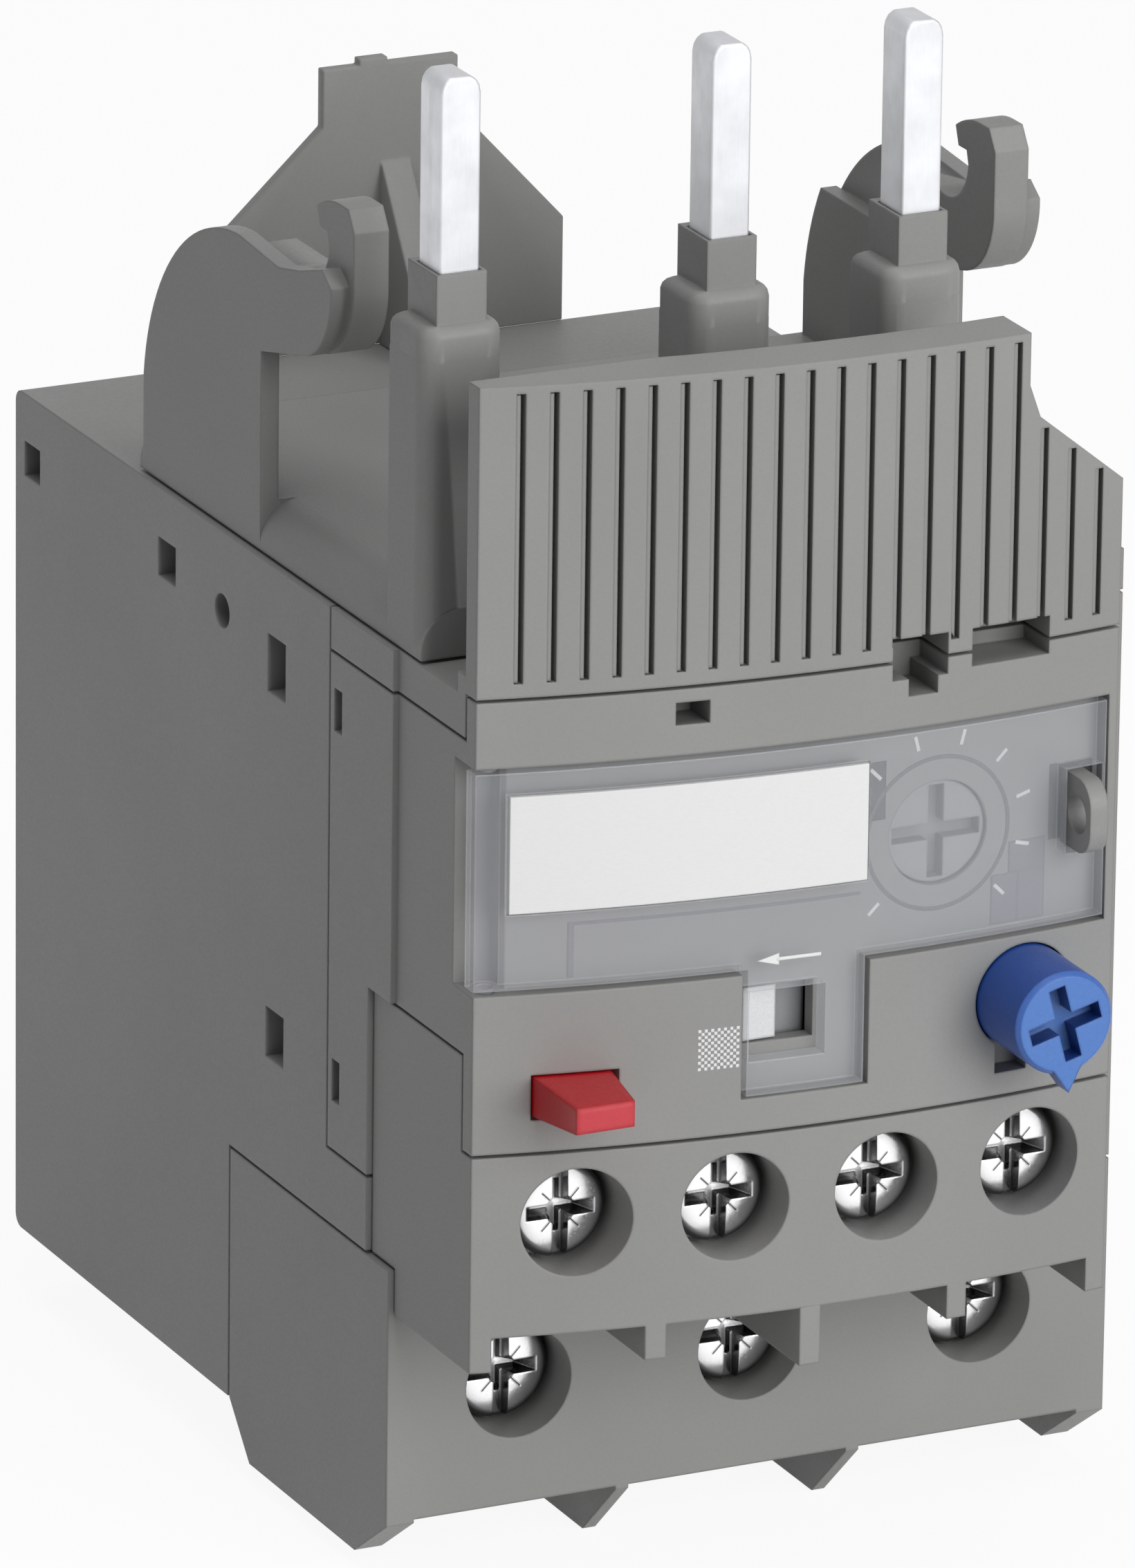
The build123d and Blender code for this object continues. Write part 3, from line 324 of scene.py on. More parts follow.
grey = colour(146, 146, 144)
finishes = {
    "housing_grey": moulded("moulded_housing_grey", grey),
    # Terminal blocks: a deeper and wider painted shade in their recesses and wells.
    "block_grey": moulded("moulded_block_grey", shade(grey, 0.98), painted_recess_shade=0.66, reach=3.8),
    "carrier_grey": moulded("moulded_carrier_grey", shade(grey, 0.93)),
    "inner_plastic": moulded("moulded_inner_black", colour(52, 53, 56), gloss=0.45),
    "tinned_copper": metal("tinned_copper", colour(208, 209, 212), 0.48, DRAWN_UP),
    "bimetal": metal("rolled_bimetal", colour(190, 184, 174), 0.30, ROLLED_UP, 0.006),
    "heater_wire": metal("drawn_heater_wire", colour(150, 138, 126), 0.36, WOUND, 0.006),
    # Painted shade in the screw's recess and in the well round its head.
    "plated_screw": metal(
        "bright_plated_screw", colour(250, 250, 251), 0.16, EVEN, 0.002, 0.03, painted_recess_shade=0.85
    ),
    "plated_steel": metal("zinc_plated_steel", colour(200, 202, 206), 0.28, STAMPED),
    "contact_brass": metal("stamped_contact_brass", colour(208, 176, 104), 0.27, STAMPED),
    "contact_silver": metal("contact_silver", colour(226, 226, 224), 0.24),
    "spring_steel": metal("spring_steel_wire", colour(170, 170, 172), 0.28, COILED),
    "clear_window": clear_plastic("clear_polycarbonate"),
    "label_white": paper("write_on_label", colour(231, 231, 231)),
    "dial_grey": moulded("moulded_dial_grey", colour(158, 160, 162), gloss=0.42),
    "slider_white": moulded(
        "moulded_slider_white",
        colour(150, 151, 153),
        gloss=0.4,
        front=colour(226, 227, 229),
        front_from=knob_line,
    ),
    # The paler front colour is painted light and sheen on the faces that look to the front.
    "stop_red": moulded(
        "moulded_stop_red",
        colour(186, 14, 26),
        gloss=0.34,
        painted_edge_highlight=1.25,
        radius=0.5,
        front=colour(200, 62, 72),
    ),
    # The paler front colour is a painted sheen on the faces that look to the front.
    "reset_blue": moulded(
        "moulded_reset_blue",
        colour(34, 76, 158),
        gloss=0.34,
        painted_edge_highlight=1.3,
        front=colour(84, 126, 196),
    ),
}
white_print = paper("white_print", colour(236, 236, 236))
groove_shade = moulded("dial_ring_painted_shade", colour(108, 109, 111))
deep_shade = moulded("recess_shade", colour(62, 63, 66))
mid_shade = moulded("step_shade", colour(122, 123, 130))

slot_of = {row["node"]: row["material_slot"] for row in frame["record"]["subparts"]}
for name, piece in frame["nodes"].items():
    piece.data.materials.clear()
    piece.data.materials.append(finishes[slot_of[name]])
    for face in piece.data.polygons:
        face.material_index = 0


# Meshes

NOSE_FRONT = 64.85
NOSE_RADIUS = 100.0
NOSE_MIDDLE = 2.5
COVER_BACK = 1.25


def nose_depth(x, inset=0.0):
    """Depth of the bowed front at x, as in the drawing, in mm."""
    bow = math.sqrt((NOSE_RADIUS - inset) ** 2 - (x - NOSE_MIDDLE) ** 2)
    return NOSE_FRONT - NOSE_RADIUS + bow


def piece_from(name, sheet, body, slot, finish=None):
    """A finished mesh as an object that rides on a body."""
    mesh = bpy.data.meshes.new(name)
    sheet.to_mesh(mesh)
    sheet.free()
    piece = bpy.data.objects.new(name, mesh)
    bpy.context.scene.collection.objects.link(piece)
    mesh.materials.append(finish or finishes[slot])
    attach(piece, body)
    return piece


def turned(profile, centre, steps=56):
    """A body turned about the line through centre along Y; profile gives radius and reach ahead."""
    sheet = bmesh.new()
    rings = []
    for radius, reach in profile:
        if radius == 0:
            rings.append([sheet.verts.new(centre + Vector((0, -reach, 0)) * MM)] * steps)
            continue
        ring = []
        for k in range(steps):
            angle = 2 * math.pi * k / steps
            offset = Vector((radius * math.cos(angle), -reach, radius * math.sin(angle)))
            ring.append(sheet.verts.new(centre + offset * MM))
        rings.append(ring)
    for first, second in zip(rings[:-1], rings[1:]):
        for k in range(steps):
            corners = [first[k], first[k - 1], second[k - 1], second[k]]
            sheet.faces.new(list(dict.fromkeys(corners)))
    bmesh.ops.recalc_face_normals(sheet, faces=sheet.faces)
    return sheet


def close_between(sheet, first, second):
    """Side faces from one ring of corners to the next."""
    for k in range(len(first)):
        sheet.faces.new([first[k], second[k], second[k - 1], first[k - 1]])


def prism(outline, ends, spot):
    """An outline drawn at both ends and closed between; spot turns a point and an end into a place."""
    sheet = bmesh.new()
    rings = [[sheet.verts.new(spot(*point, end)) for point in outline] for end in ends]
    sheet.faces.new(rings[0])
    sheet.faces.new(rings[1][::-1])
    close_between(sheet, *rings)
    bmesh.ops.recalc_face_normals(sheet, faces=sheet.faces)
    return sheet


def from_front(x, height, depth):
    return place(x, depth, height)


def from_side(depth, height, x):
    return place(x, depth, height)


def brick(across, back_to_front, upward):
    """A block between the two values of each direction, given in any order."""
    (left, right), (low, high) = sorted(across), upward
    outline = [(left, low), (right, low), (right, high), (left, high)]
    return prism(outline, back_to_front, from_front)


def settle(piece):
    """Turns a piece's modifiers into plain mesh."""
    view = bpy.context.evaluated_depsgraph_get()
    shaped = bpy.data.meshes.new_from_object(piece.evaluated_get(view))
    piece.modifiers.clear()
    piece.data = shaped


def combine(piece, sheets, how="DIFFERENCE"):
    """Takes each sheet out of the piece, or joins it on."""
    for sheet in sheets:
        mesh = bpy.data.meshes.new("tool")
        sheet.to_mesh(mesh)
        sheet.free()
        tool = bpy.data.objects.new("tool", mesh)
        bpy.context.scene.collection.objects.link(tool)
        step = piece.modifiers.new("step", "BOOLEAN")
        step.operation = how
        step.solver = "EXACT"
        step.object = tool
        settle(piece)
        bpy.data.objects.remove(tool)


DOUBLED = 0.002


def clean(sheet, flat_within):
    """Joins doubled corners and drops the lines left inside flat faces."""
    bmesh.ops.remove_doubles(sheet, verts=sheet.verts, dist=DOUBLED * MM)
    limit = math.radians(flat_within)
    bmesh.ops.dissolve_limit(sheet, angle_limit=limit, verts=sheet.verts, edges=sheet.edges)


def copy_of(node, name, body, slot):
    """The drawn solid as a mesh of its own, to be worked on, in place of the drawn one."""
    source = frame["nodes"][node]
    sheet = bmesh.new()
    sheet.from_mesh(source.data)
    sheet.transform(source.matrix_world)
    clean(sheet, 1.0)
    piece = piece_from(name, sheet, body, slot)
    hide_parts(node)
    return piece


def rounded_edges(piece, width, over_angle):
    """Breaks the edges that turn by more than an angle in degrees."""
    step = piece.modifiers.new("edges", "BEVEL")
    step.width = width * MM
    step.segments = 2
    step.limit_method = "ANGLE"
    step.angle_limit = math.radians(over_angle)
    settle(piece)


def smooth(piece, angle):
    """Smooth shading, apart from edges that turn by more than an angle in degrees."""
    for face in piece.data.polygons:
        face.use_smooth = True
    piece.data.set_sharp_from_angle(angle=math.radians(angle))


def flat_faces_flat(piece):
    """Normals weighed by area, so that a large flat face stays evenly lit."""
    step = piece.modifiers.new("even", "WEIGHTED_NORMAL")
    step.weight = 100
    step.keep_sharp = True
    settle(piece)


# Terminal screws

HEAD_RIM = 0.55
HEAD_CROWN = 0.06
ARM_WIDE = 0.95
ARM_SHARE = 1.62
SLOT_SHARE = 2.3
MARK_SHARE = 1.15
MOUTH = 0.4
AUX_SEAT_BACK = 3.78
MAIN_SEAT = 47.42
AUX_TAIL = 55.6
MAIN_TAIL = 43.2


def tapered_bar(centre, long, wide, deep, end_long, end_wide, turn):
    """A cutter that narrows as it goes in, turned about the screw's axis."""
    sheet = bmesh.new()
    loops = []
    for reach, length, width in ((MOUTH, long, wide), (-deep, end_long, end_wide)):
        loop = []
        for across, up in ((-1, -1), (1, -1), (1, 1), (-1, 1)):
            spot = Vector((across * length / 2, -reach, up * width / 2))
            loop.append(sheet.verts.new(centre + (Matrix.Rotation(turn, 3, "Y") @ spot) * MM))
        loops.append(loop)
    sheet.faces.new(loops[0])
    sheet.faces.new(loops[1][::-1])
    close_between(sheet, *loops)
    bmesh.ops.recalc_face_normals(sheet, faces=sheet.faces)
    return sheet


def screw_piece(name, node, centre, radius, thick, shank, length):
    """Crowned head with a full slot, a cross recess and four fine marks between its arms."""
    profile = [
        (0, -length),
        (shank - 0.3, -length),
        (shank, -length + 0.3),
        (shank, 0),
        (radius - 0.1, 0),
        (radius, 0.1),
    ]
    for k in range(6):
        angle = math.pi / 2 * k / 5
        inward = HEAD_RIM * (1 - math.cos(angle))
        profile.append((radius - inward, thick - HEAD_RIM * (1 - math.sin(angle))))
    profile += [(radius * 0.5, thick + 0.04), (0, thick + HEAD_CROWN)]
    piece = piece_from(name, turned(profile, centre), "housing", "plated_screw")
    top = centre + Vector((0, -thick, 0)) * MM
    upright = math.pi / 2
    slot, arm, mark = SLOT_SHARE * radius, ARM_SHARE * radius, MARK_SHARE * radius
    cutters = [
        tapered_bar(top, slot, ARM_WIDE, 0.85, slot, 0.9, upright),
        tapered_bar(top, arm, ARM_WIDE, 1.3, 0.9 * radius, 0.5, 0.0),
        tapered_bar(top, arm, ARM_WIDE, 1.3, 0.9 * radius, 0.5, upright),
    ]
    for turn in (math.pi / 4, -math.pi / 4):
        cutters.append(tapered_bar(top, mark, 0.09, 0.1, 1.1 * radius, 0.05, turn))
    cutters.append(turned([(0, -1.3), (0.35, -1.3), (1.0, 0.3), (0, 0.3)], top, 24))
    combine(piece, cutters)
    smooth(piece, 35)
    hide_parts(node)


def screws_for(node, count, pitch, seat_at, tail, radius, thick, shank):
    """A row of screws in place of the drawn ones; seat_at gives the depth of the seat at x."""
    low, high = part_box(node)
    first = low.x / MM + radius
    height = (low.z + high.z) / 2 / MM + SEAT
    for k in range(count):
        x = first + k * pitch
        seat = seat_at(x)
        centre = place(x, seat, height)
        screw_piece(f"{node}_{k + 1}", node, centre, radius, thick, shank, seat - tail)


def aux_seat(x):
    return nose_depth(x) - AUX_SEAT_BACK


def main_seat(x):
    return MAIN_SEAT


# Flat marks and shades on the bowed front

MARK_LIFT = 0.02
MARK_ROOT = 0.02
DIAL_X = 5.15
DIAL_HEIGHT = 43.95
TICK_RING = 5.55
TICK_LONG = 0.9
TICK_WIDE = 0.22
GROOVE_RING = 4.4
GROOVE_RING_WIDE = 0.24
RING_STEPS = 72
STRIP = 2.0
ARROW_LEFT = -6.3
ARROW_RIGHT = -2.5
ARROW_HEIGHT = 38.35
ARROW_HEAD = 1.3
ARROW_HALF = 0.35
ARROW_SHAFT = 0.2
HATCH_LEFT = -9.65
HATCH_LOW = 32.3
HATCH_SIDE = 2.4
HATCH_CELLS = 13
HATCH_OVERLAP = 1.02


def marks(name, patches, body, slot, finish, inset=0.0, lift=MARK_LIFT):
    """Thin marks laid on the bowed front, each given by its corners' x and height, in mm."""
    sheet = bmesh.new()
    for corners in patches:
        front, back = [], []
        for x, height in corners:
            depth = nose_depth(x, inset)
            front.append(sheet.verts.new(place(x, depth + lift, height)))
            back.append(sheet.verts.new(place(x, depth - MARK_ROOT, height)))
        sheet.faces.new(front)
        sheet.faces.new(back[::-1])
        close_between(sheet, front, back)
    bmesh.ops.recalc_face_normals(sheet, faces=sheet.faces)
    piece_from(name, sheet, body, slot, finish)


def behind_cover(name, patches, finish):
    marks(name, patches, "housing", "dial_grey", finish, COVER_BACK)


def bar_patch(x, height, long, wide, turn=0.0):
    """A thin bar round its middle, turned by an angle."""
    cos, sin = math.cos(turn), math.sin(turn)
    corners = ((-1, -1), (1, -1), (1, 1), (-1, 1))
    spots = [(u * long / 2, v * wide / 2) for u, v in corners]
    return [(x + u * cos - v * sin, height + u * sin + v * cos) for u, v in spots]


def dial_patch(radius, turn, long, wide):
    """A bar that points away from the dial's middle."""
    x = DIAL_X + radius * math.cos(turn)
    height = DIAL_HEIGHT + radius * math.sin(turn)
    return bar_patch(x, height, long, wide, turn)


def rect(left, right, low, high):
    """Corners of an upright patch, cut in strips so that it follows the bow."""
    count = max(1, round((right - left) / STRIP))
    step = (right - left) / count
    edges = [left + k * step for k in range(count + 1)]
    return [[(a, low), (b, low), (b, high), (a, high)] for a, b in zip(edges[:-1], edges[1:])]


def dial_scale():
    turns = [math.radians(90 - degrees) for degrees in range(-135, 136, 30)]
    ticks = [dial_patch(TICK_RING, turn, TICK_LONG, TICK_WIDE) for turn in turns]
    marks("dial_scale_ticks", ticks, "housing", "label_white", white_print, COVER_BACK, 0.03)


def dial_ring():
    # A thin dark ring of painted shade round the dial, standing for the shadow line of a groove.
    part = 2 * math.pi / RING_STEPS
    ring = []
    for k in range(RING_STEPS):
        ring.append(dial_patch(GROOVE_RING, part * (k + 0.5), GROOVE_RING_WIDE, part * GROOVE_RING))
    behind_cover("dial_ring_painted_shade", ring, groove_shade)


def cover_shades():
    """Painted shade on what shows through the cover: a notch, a stepped patch, panel lines and the
    lug's pocket.
    """
    behind_cover("label_end_notch_shade", rect(0.45, 1.85, 45.2, 48.6), deep_shade)
    stepped = rect(9.65, 12.0, 40.9, 42.7) + rect(8.55, 12.0, 38.0, 40.9)
    behind_cover("stepped_patch", stepped, mid_shade)
    panel_line_shade = rect(-16.55, -16.2, 38.0, 41.2) + rect(-16.2, 0.4, 41.0, 41.2)
    behind_cover("cover_panel_line_shade", panel_line_shade, mid_shade)
    behind_cover("lug_pocket_shade", rect(12.2, 15.0, 42.4, 46.8), deep_shade)


def slider_arrow():
    neck = ARROW_LEFT + ARROW_HEAD
    start = neck - 0.1
    tip = (ARROW_LEFT, ARROW_HEIGHT)
    head = [tip, (neck, ARROW_HEIGHT - ARROW_HALF), (neck, ARROW_HEIGHT + ARROW_HALF)]
    shaft = bar_patch((start + ARROW_RIGHT) / 2, ARROW_HEIGHT, ARROW_RIGHT - start, ARROW_SHAFT)
    marks("slider_arrow", [head, shaft], "cover", "label_white", white_print)


def hatched_square():
    cell = HATCH_SIDE / HATCH_CELLS
    size = cell * HATCH_OVERLAP
    hatch = []
    for row in range(HATCH_CELLS):
        for column in range(HATCH_CELLS):
            if (row + column) % 2 == 0:
                x = HATCH_LEFT + (column + 0.5) * cell
                hatch.append(bar_patch(x, HATCH_LOW + (row + 0.5) * cell, size, size))
    marks("hatched_square", hatch, "housing", "label_white", white_print)


# Grooves of the grille

GROOVES = 20
GROOVE_FIRST = -19.95
GROOVE_LAST = 14.326
GROOVE_FOOT = 55.6
NOTCH_TOP = 56.02
GRILLE_TOP = 71.95
GRILLE_CORNER = 9.7
SLOPE_X = 10.4
SLOPE_TOP = 67.1
SLOPE_FALL = 0.8
LEDGE_LEFT = -0.24
LEDGE_RIGHT = 0.02
LEDGE_FRONT = 0.14
LEDGE_BACK = 0.86


def ledge_top(x):
    return GRILLE_TOP if x < GRILLE_CORNER else SLOPE_TOP - SLOPE_FALL * (x - SLOPE_X)


def ledge_foot(x):
    """The grooves end higher where a notch is cut in the panel's lower edge."""
    return NOTCH_TOP if 1.0 < x < 5.2 or 6.0 < x < 11.6 else GROOVE_FOOT


def groove_ledges():
    """The shallow ledge along the left of each groove, which leaves the groove's dark part narrow."""
    sheet = bmesh.new()
    pitch = (GROOVE_LAST - GROOVE_FIRST) / (GROOVES - 1)
    for k in range(GROOVES):
        x = GROOVE_FIRST + k * pitch
        left, right = x + LEDGE_LEFT, x + LEDGE_RIGHT
        corners = [(left, LEDGE_FRONT), (right, LEDGE_FRONT), (right, LEDGE_BACK), (left, LEDGE_BACK)]
        rings = []
        for height_at in (ledge_foot, ledge_top):
            spots = [place(x, nose_depth(x) - depth, height_at(x)) for x, depth in corners]
            rings.append([sheet.verts.new(spot) for spot in spots])
        sheet.faces.new(rings[0])
        sheet.faces.new(rings[1][::-1])
        close_between(sheet, *rings)
    bmesh.ops.recalc_face_normals(sheet, faces=sheet.faces)
    piece_from("groove_ledges", sheet, "housing", "housing_grey")


# Label and long leg

LABEL_MIDDLE = 0.1
LABEL_LIFT = 0.04
LEG_SIDES = (-3.395, -2.155)
LEG_BACK = 52.0
LEG_LOW = 14.2
LEG_HIGH = 17.65
LEG_PROUD = 0.03


def label_card():
    """The drawn label with its back lifted a hair off the cover, so that only one face shows there."""
    piece = copy_of("marker_label", "label_card", "cover", "label_white")
    for vert in piece.data.vertices:
        if -vert.co.y / MM < nose_depth(vert.co.x / MM) - LABEL_MIDDLE:
            vert.co.y -= LABEL_LIFT * MM


def long_leg():
    """The leg near the middle of the auxiliary block, longer than the others."""
    front = nose_depth(sum(LEG_SIDES) / 2) + LEG_PROUD
    side = [
        (LEG_BACK, LEG_HIGH),
        (LEG_BACK, LEG_LOW + 0.9),
        (LEG_BACK + 1.2, LEG_LOW),
        (front, LEG_LOW),
        (front, LEG_HIGH),
    ]
    piece_from("aux_long_leg", prism(side, LEG_SIDES, from_side), "housing", "block_grey")


# Top carrier: hooks thinned below the crook, flush under the plates, towers with rounded shoulders

DECK = 57.6
DECK_JOIN = DECK + 0.1
HOOK = (17.4, 33.4)
HOOK_STEP = 28.5
HOOK_CUT_BACK = 16.9
HOOK_CUT_FRONT = 33.7
REAR_CROOK = 67.05
FRONT_CROOK = 66.38
# Inner edge, its layer at the rear, outer plate's two faces, and how far down the plate runs
hook_sides = [(-17.9, -20.1, -21.1, -22.2, 54.85), (17.2, 19.4, 20.4, 21.5, 55.5)]

blade_places = {"left": -19.7, "middle": -3.4, "right": 8.3}
BLADE_DEPTH = 52.45
TOWER_CUT = 71.7
TOWER_HALF = 2.495
TOWER_DEEP = 2.195
TOWER_FRONT_RADIUS = 1.2
TOWER_LEAST_RADIUS = 0.4
TOWER_BACK_RADIUS = 0.1
TOWER_ROOM = 3.2
TOWER_ROOM_DEEP = (49.6, 55.4)
CORNER_STEPS = 6
COLLAR_HALF = 1.5
COLLAR_DEEP = (50.4, 54.1)
COLLAR_LOW = 73.0
SLOT_HALF = 1.3
SLOT_DEEP = (51.0, 53.9)
SLOT_LOW = 71.0
CLEAR_ABOVE = 77.0
# Height, and how far the sides and the front and back have come in there
tower_sections = [
    (TOWER_CUT - 0.02, 0.0, 0.0),
    (72.95, 0.0, 0.0),
    (73.25, 0.08, 0.08),
    (73.48, 0.26, 0.24),
    (73.62, 0.52, 0.44),
    (73.66, 0.90, 0.50),
]


def tower_ring(sheet, x, half_x, half_depth, height, front_radius):
    back_radius = TOWER_BACK_RADIUS
    corners = [(1, 1, front_radius), (-1, 1, front_radius), (-1, -1, back_radius), (1, -1, back_radius)]
    ring = []
    for number, (side, ahead, radius) in enumerate(corners):
        middle_x = x + side * (half_x - radius)
        middle_depth = BLADE_DEPTH + ahead * (half_depth - radius)
        for k in range(CORNER_STEPS + 1):
            angle = math.pi / 2 * (number + k / CORNER_STEPS)
            depth = middle_depth + radius * math.sin(angle)
            ring.append(sheet.verts.new(place(middle_x + radius * math.cos(angle), depth, height)))
    return ring


def tower_top(x):
    sheet = bmesh.new()
    rings = []
    for height, inset_x, inset_depth in tower_sections:
        radius = max(TOWER_LEAST_RADIUS, TOWER_FRONT_RADIUS - inset_x)
        half_x, half_depth = TOWER_HALF - inset_x, TOWER_DEEP - inset_depth
        rings.append(tower_ring(sheet, x, half_x, half_depth, height, radius))
    for low, high in zip(rings[:-1], rings[1:]):
        close_between(sheet, low, high)
    sheet.faces.new(rings[0])
    sheet.faces.new(rings[-1][::-1])
    bmesh.ops.recalc_face_normals(sheet, faces=sheet.faces)
    return sheet


def round_blade(x, half):
    return (x - half, x + half)


def carrier_moulding():
    piece = copy_of("top_carrier", "carrier_moulding", "housing", "carrier_grey")
    cuts, joins, slots = [], [], []
    for inner, layer, plate_in, plate_out, foot in hook_sides:
        rear = (HOOK_CUT_BACK, HOOK_STEP)
        cuts.append(brick((layer, inner), rear, (DECK, REAR_CROOK)))
        cuts.append(brick((plate_in, inner), (HOOK_STEP, HOOK_CUT_FRONT), (DECK, FRONT_CROOK)))
        joins.append(brick((plate_in, plate_out), HOOK, (foot, DECK_JOIN)))
    for x in blade_places.values():
        room = round_blade(x, TOWER_ROOM)
        cuts.append(brick(room, TOWER_ROOM_DEEP, (TOWER_CUT, CLEAR_ABOVE)))
        joins.append(tower_top(x))
        joins.append(brick(round_blade(x, COLLAR_HALF), COLLAR_DEEP, (COLLAR_LOW, SEAT)))
        slots.append(brick(round_blade(x, SLOT_HALF), SLOT_DEEP, (SLOT_LOW, CLEAR_ABOVE)))
    combine(piece, cuts)
    combine(piece, joins, "UNION")
    combine(piece, slots)
    sheet = bmesh.new()
    sheet.from_mesh(piece.data)
    clean(sheet, 0.6)
    sheet.to_mesh(piece.data)
    sheet.free()
    smooth(piece, 24)
    flat_faces_flat(piece)


# Rear plate and blades

PLATE_LOW = 54.62
PLATE_THICK = 0.8
PLATE_EDGE = 0.12
plate_outline = [
    (-12.4, PLATE_LOW),
    (12.0, PLATE_LOW),
    (12.0, 60.95),
    (6.5, 66.85),
    (5.1, 68.1),
    (5.1, 71.6),
    (0.6, 71.6),
    (0.6, 72.0),
    (-1.2, 72.0),
    (-1.2, 71.6),
    (-3.5, 71.6),
    (-3.5, 68.1),
    (-12.4, 59.8),
]
WEDGE_SIDES = (0.2, 2.1)
wedge_run = [(0.7, PLATE_LOW), (8.0, PLATE_LOW), (0.7, 65.9)]

BLADE_HALF = 1.35
TONGUE_LOW = 69.98
TONGUE_EDGE = 0.14
STRAP_TOP = 70.0
tongue_shoulder = [(1.2, 86.55), (1.12, 86.95), (0.93, 87.27), (0.6, 87.5)]


def rear_latch_plate():
    """Thin upright plate with its nub and the wedge that props it."""
    sheet = prism(plate_outline, (0.0, PLATE_THICK), from_front)
    piece = piece_from("rear_latch_plate", sheet, "housing", "carrier_grey")
    combine(piece, [prism(wedge_run, WEDGE_SIDES, from_side)], "UNION")
    rounded_edges(piece, PLATE_EDGE, 30)
    smooth(piece, 28)
    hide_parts("rear_plate")


def blade_tongue(side, x):
    """The blade's strap as drawn, and above it a tongue with rounded shoulders and broken edges."""
    node = f"contact_blade_{side}"
    strap = copy_of(node, f"blade_strap_{side}", "housing", "tinned_copper")
    combine(strap, [brick((x - 2, x + 2), (50, 55), (STRAP_TOP, 90.0))])
    right = [(1.2, TONGUE_LOW)] + tongue_shoulder
    outline = [(x - 1.2, TONGUE_LOW)] + [(x + across, height) for across, height in right]
    outline += [(x - across, height) for across, height in reversed(tongue_shoulder)]
    tongue = prism(outline, (BLADE_DEPTH - BLADE_HALF, BLADE_DEPTH + BLADE_HALF), from_front)
    piece = piece_from(f"blade_tongue_{side}", tongue, "housing", "tinned_copper")
    rounded_edges(piece, TONGUE_EDGE, 20)
    smooth(piece, 50)
    flat_faces_flat(piece)
    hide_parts(node)


# Stage, light and camera

FLOOR_HALF = 6.0
FLOOR_DROP = 0.0001
FLOOR_TINT = (0.6, 0.6, 0.6, 1.0)
FLOOR_GLOW = 0.86
STAGE_WHITE = 1.07
WORLD_TINT = (0.9, 0.92, 0.95, 1.0)
WORLD_GLOW = 0.15
LIGHT_AIM = Vector((0.0, -0.03, -0.03))


def stage_finish(name, tint, glow):
    """Pale sheet that keeps the shadow, and that the eye, metal and clear plastic see as white."""
    made = Finish(name)
    cloud = made.noise(made.where(), 0.004, 2.0)
    body = made.blend(made.spread(cloud, 0.3, 0.7, 0.0, 1.0), tint, shade(tint, 0.995))
    made.set(Base_Color=body, Roughness=0.9, Specular_IOR_Level=0.0)
    seen = made.ray("Camera") * glow + (made.ray("Glossy") + made.ray("Transmission"))
    white = made.node("ShaderNodeEmission", None, {"Strength": STAGE_WHITE})
    cloth = Value(made, made.shader.outputs[0])
    surface = made.node("ShaderNodeMixShader", None, {0: seen, 1: cloth, 2: white})
    made.feed(made.tree.nodes["Material Output"].inputs["Surface"], surface)
    return made.material


def floor_sheet():
    mesh = bpy.data.meshes.new("studio_floor")
    sheet = bmesh.new()
    bmesh.ops.create_grid(sheet, x_segments=2, y_segments=2, size=FLOOR_HALF)
    sheet.to_mesh(mesh)
    sheet.free()
    floor = bpy.data.objects.new("studio_floor", mesh)
    bpy.context.scene.collection.objects.link(floor)
    floor.location.z = cad_box[0][2] - FLOOR_DROP
    mesh.materials.append(stage_finish("studio_floor_white", FLOOR_TINT, FLOOR_GLOW))


def soft_light(name, spot, power, side):
    """A square area light that looks at the object."""
    data = bpy.data.lights.new(name, "AREA")
    data.energy = power
    data.shape = "RECTANGLE"
    data.size = side
    data.size_y = side
    lamp = bpy.data.objects.new(name, data)
    bpy.context.scene.collection.objects.link(lamp)
    lamp.location = spot
    lamp.rotation_euler = (LIGHT_AIM - Vector(spot)).to_track_quat("-Z", "Y").to_euler()


def studio_world():
    """White for the eye, for metal and through clear plastic, and a faint glow for the rest."""
    world = bpy.data.worlds.new("studio_world")
    bpy.context.scene.world = world
    world.use_nodes = True
    graph = Graph(world.node_tree)
    graph.tree.nodes.clear()
    larger = {"operation": "MAXIMUM"}
    rays = {0: graph.ray("Camera"), 1: graph.ray("Transmission")}
    shown = graph.node("ShaderNodeMath", larger, rays)
    shown = graph.node("ShaderNodeMath", larger, {0: shown, 1: graph.ray("Glossy")})
    glow = {"Color": WORLD_TINT, "Strength": WORLD_GLOW}
    glow = graph.node("ShaderNodeBackground", None, glow)
    white = graph.node("ShaderNodeBackground", None, {"Strength": 1.0})
    surface = graph.node("ShaderNodeMixShader", None, {0: shown, 1: glow, 2: white})
    graph.feed(graph.tree.nodes.new("ShaderNodeOutputWorld").inputs["Surface"], surface)


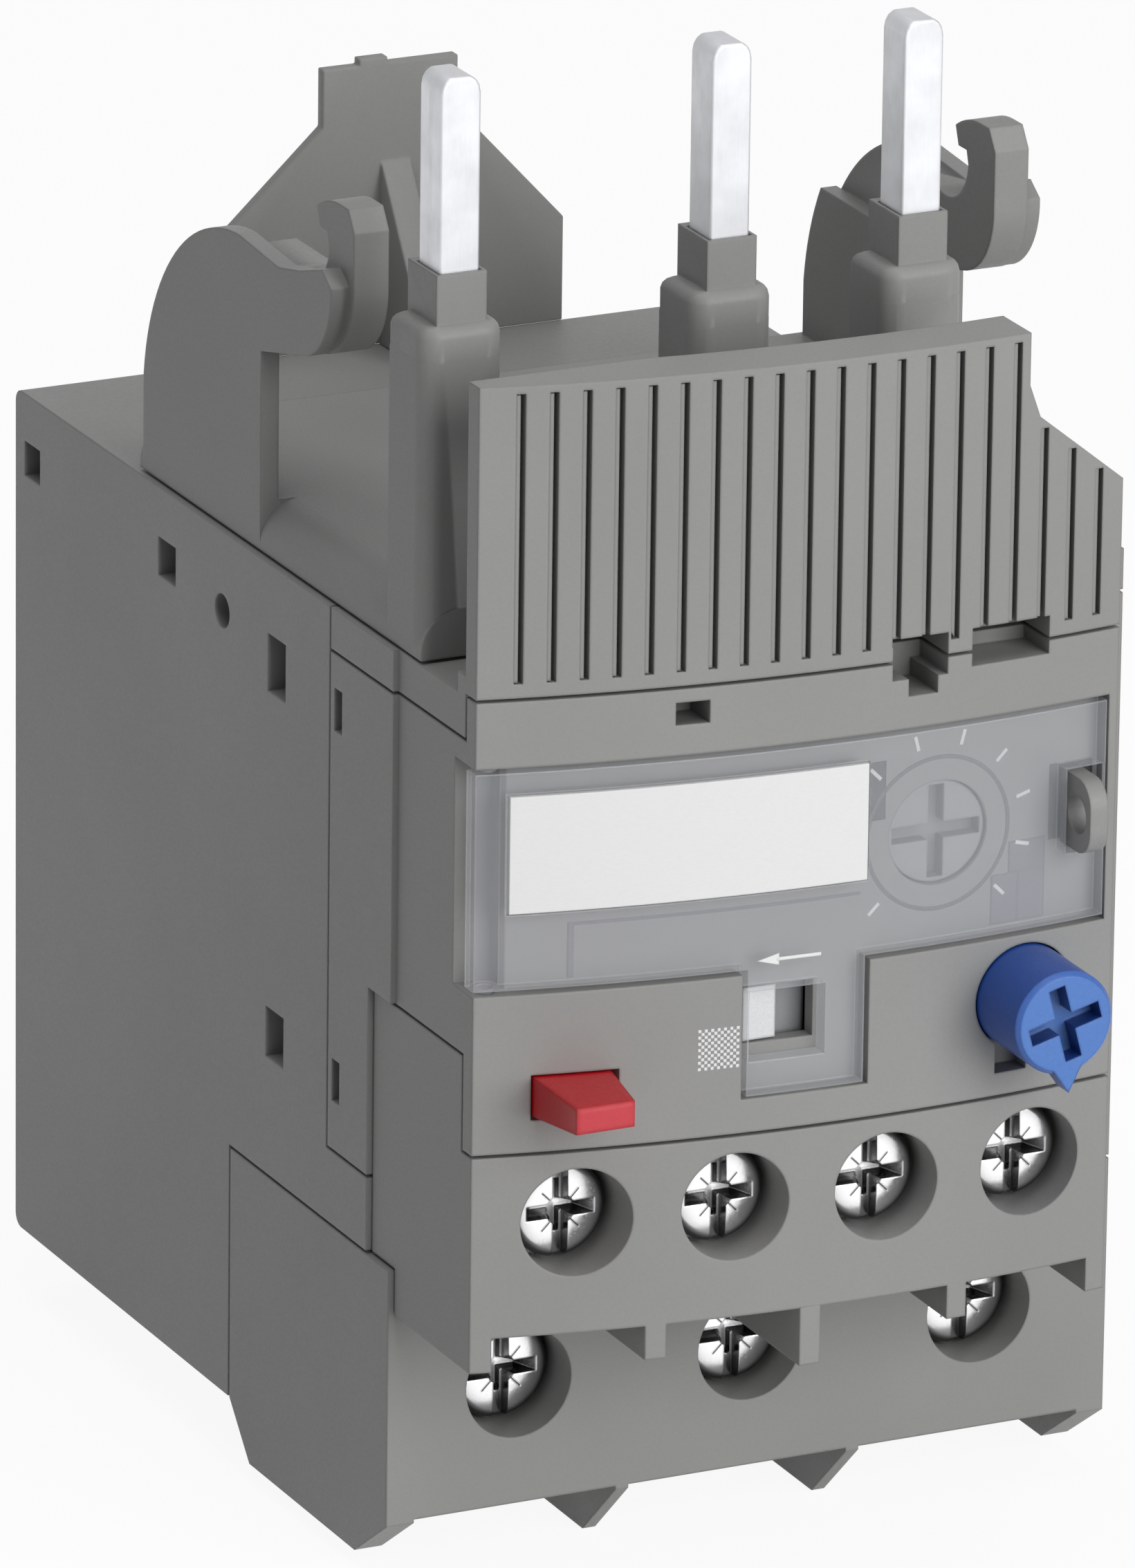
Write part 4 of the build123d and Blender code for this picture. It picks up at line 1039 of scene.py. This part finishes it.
# The camera stands where the photograph was taken from, worked out from the object's own edges
CAMERA_AZIMUTH = -0.450577
CAMERA_ELEVATION = 0.330044
CAMERA_ROLL = 0.0132876
CAMERA_DISTANCE = 0.86512
CAMERA_TARGET = Vector((0.0, -0.030, -0.0365))
CAMERA_LENS = 349.2
SENSOR_HEIGHT = 36.0
AIM_RIGHT = -0.0014505
AIM_UP = -0.0034809
NEAR = 0.01
FAR = 50.0


def photo_camera():
    turn, rise = CAMERA_AZIMUTH, CAMERA_ELEVATION
    away = math.cos(rise)
    back = Vector((math.sin(turn) * away, -math.cos(turn) * away, math.sin(rise)))
    right = Vector((math.cos(turn), math.sin(turn), 0.0))
    up = back.cross(right)
    roll_cos, roll_sin = math.cos(CAMERA_ROLL), math.sin(CAMERA_ROLL)
    right, up = roll_cos * right + roll_sin * up, roll_cos * up - roll_sin * right
    ahead = (AIM_RIGHT * right + AIM_UP * up - back).normalized()
    right = ahead.cross(up).normalized()
    up = right.cross(ahead)
    data = bpy.data.cameras.new("photo_camera")
    data.sensor_fit = "VERTICAL"
    data.sensor_height = SENSOR_HEIGHT
    data.lens = CAMERA_LENS
    data.clip_start = NEAR
    data.clip_end = FAR
    camera = bpy.data.objects.new("photo_camera", data)
    bpy.context.scene.collection.objects.link(camera)
    turned_to = Matrix((right, up, -ahead)).transposed().to_4x4()
    camera.matrix_world = Matrix.Translation(CAMERA_TARGET + back * CAMERA_DISTANCE) @ turned_to
    bpy.context.scene.camera = camera


screws_for("aux_terminal_screws", 4, 9.05, aux_seat, AUX_TAIL, 2.85, 1.6, 1.5)
screws_for("main_terminal_screws", 3, 14.4, main_seat, MAIN_TAIL, 3.0, 2.0, 1.75)
dial_scale()
dial_ring()
cover_shades()
groove_ledges()
label_card()
long_leg()
carrier_moulding()
rear_latch_plate()
for side, x in blade_places.items():
    blade_tongue(side, x)
slider_arrow()
hatched_square()

photo_camera()
studio_world()
floor_sheet()
soft_light("key_light", (0.25, -1.0, 0.28), 9.2, 0.8)
soft_light("top_light", (-0.1, -0.1, 1.1), 5.2, 0.9)
soft_light("left_fill", (-1.0, -0.35, 0.2), 0.5, 0.8)
bpy.context.scene.view_settings.view_transform = "Standard"
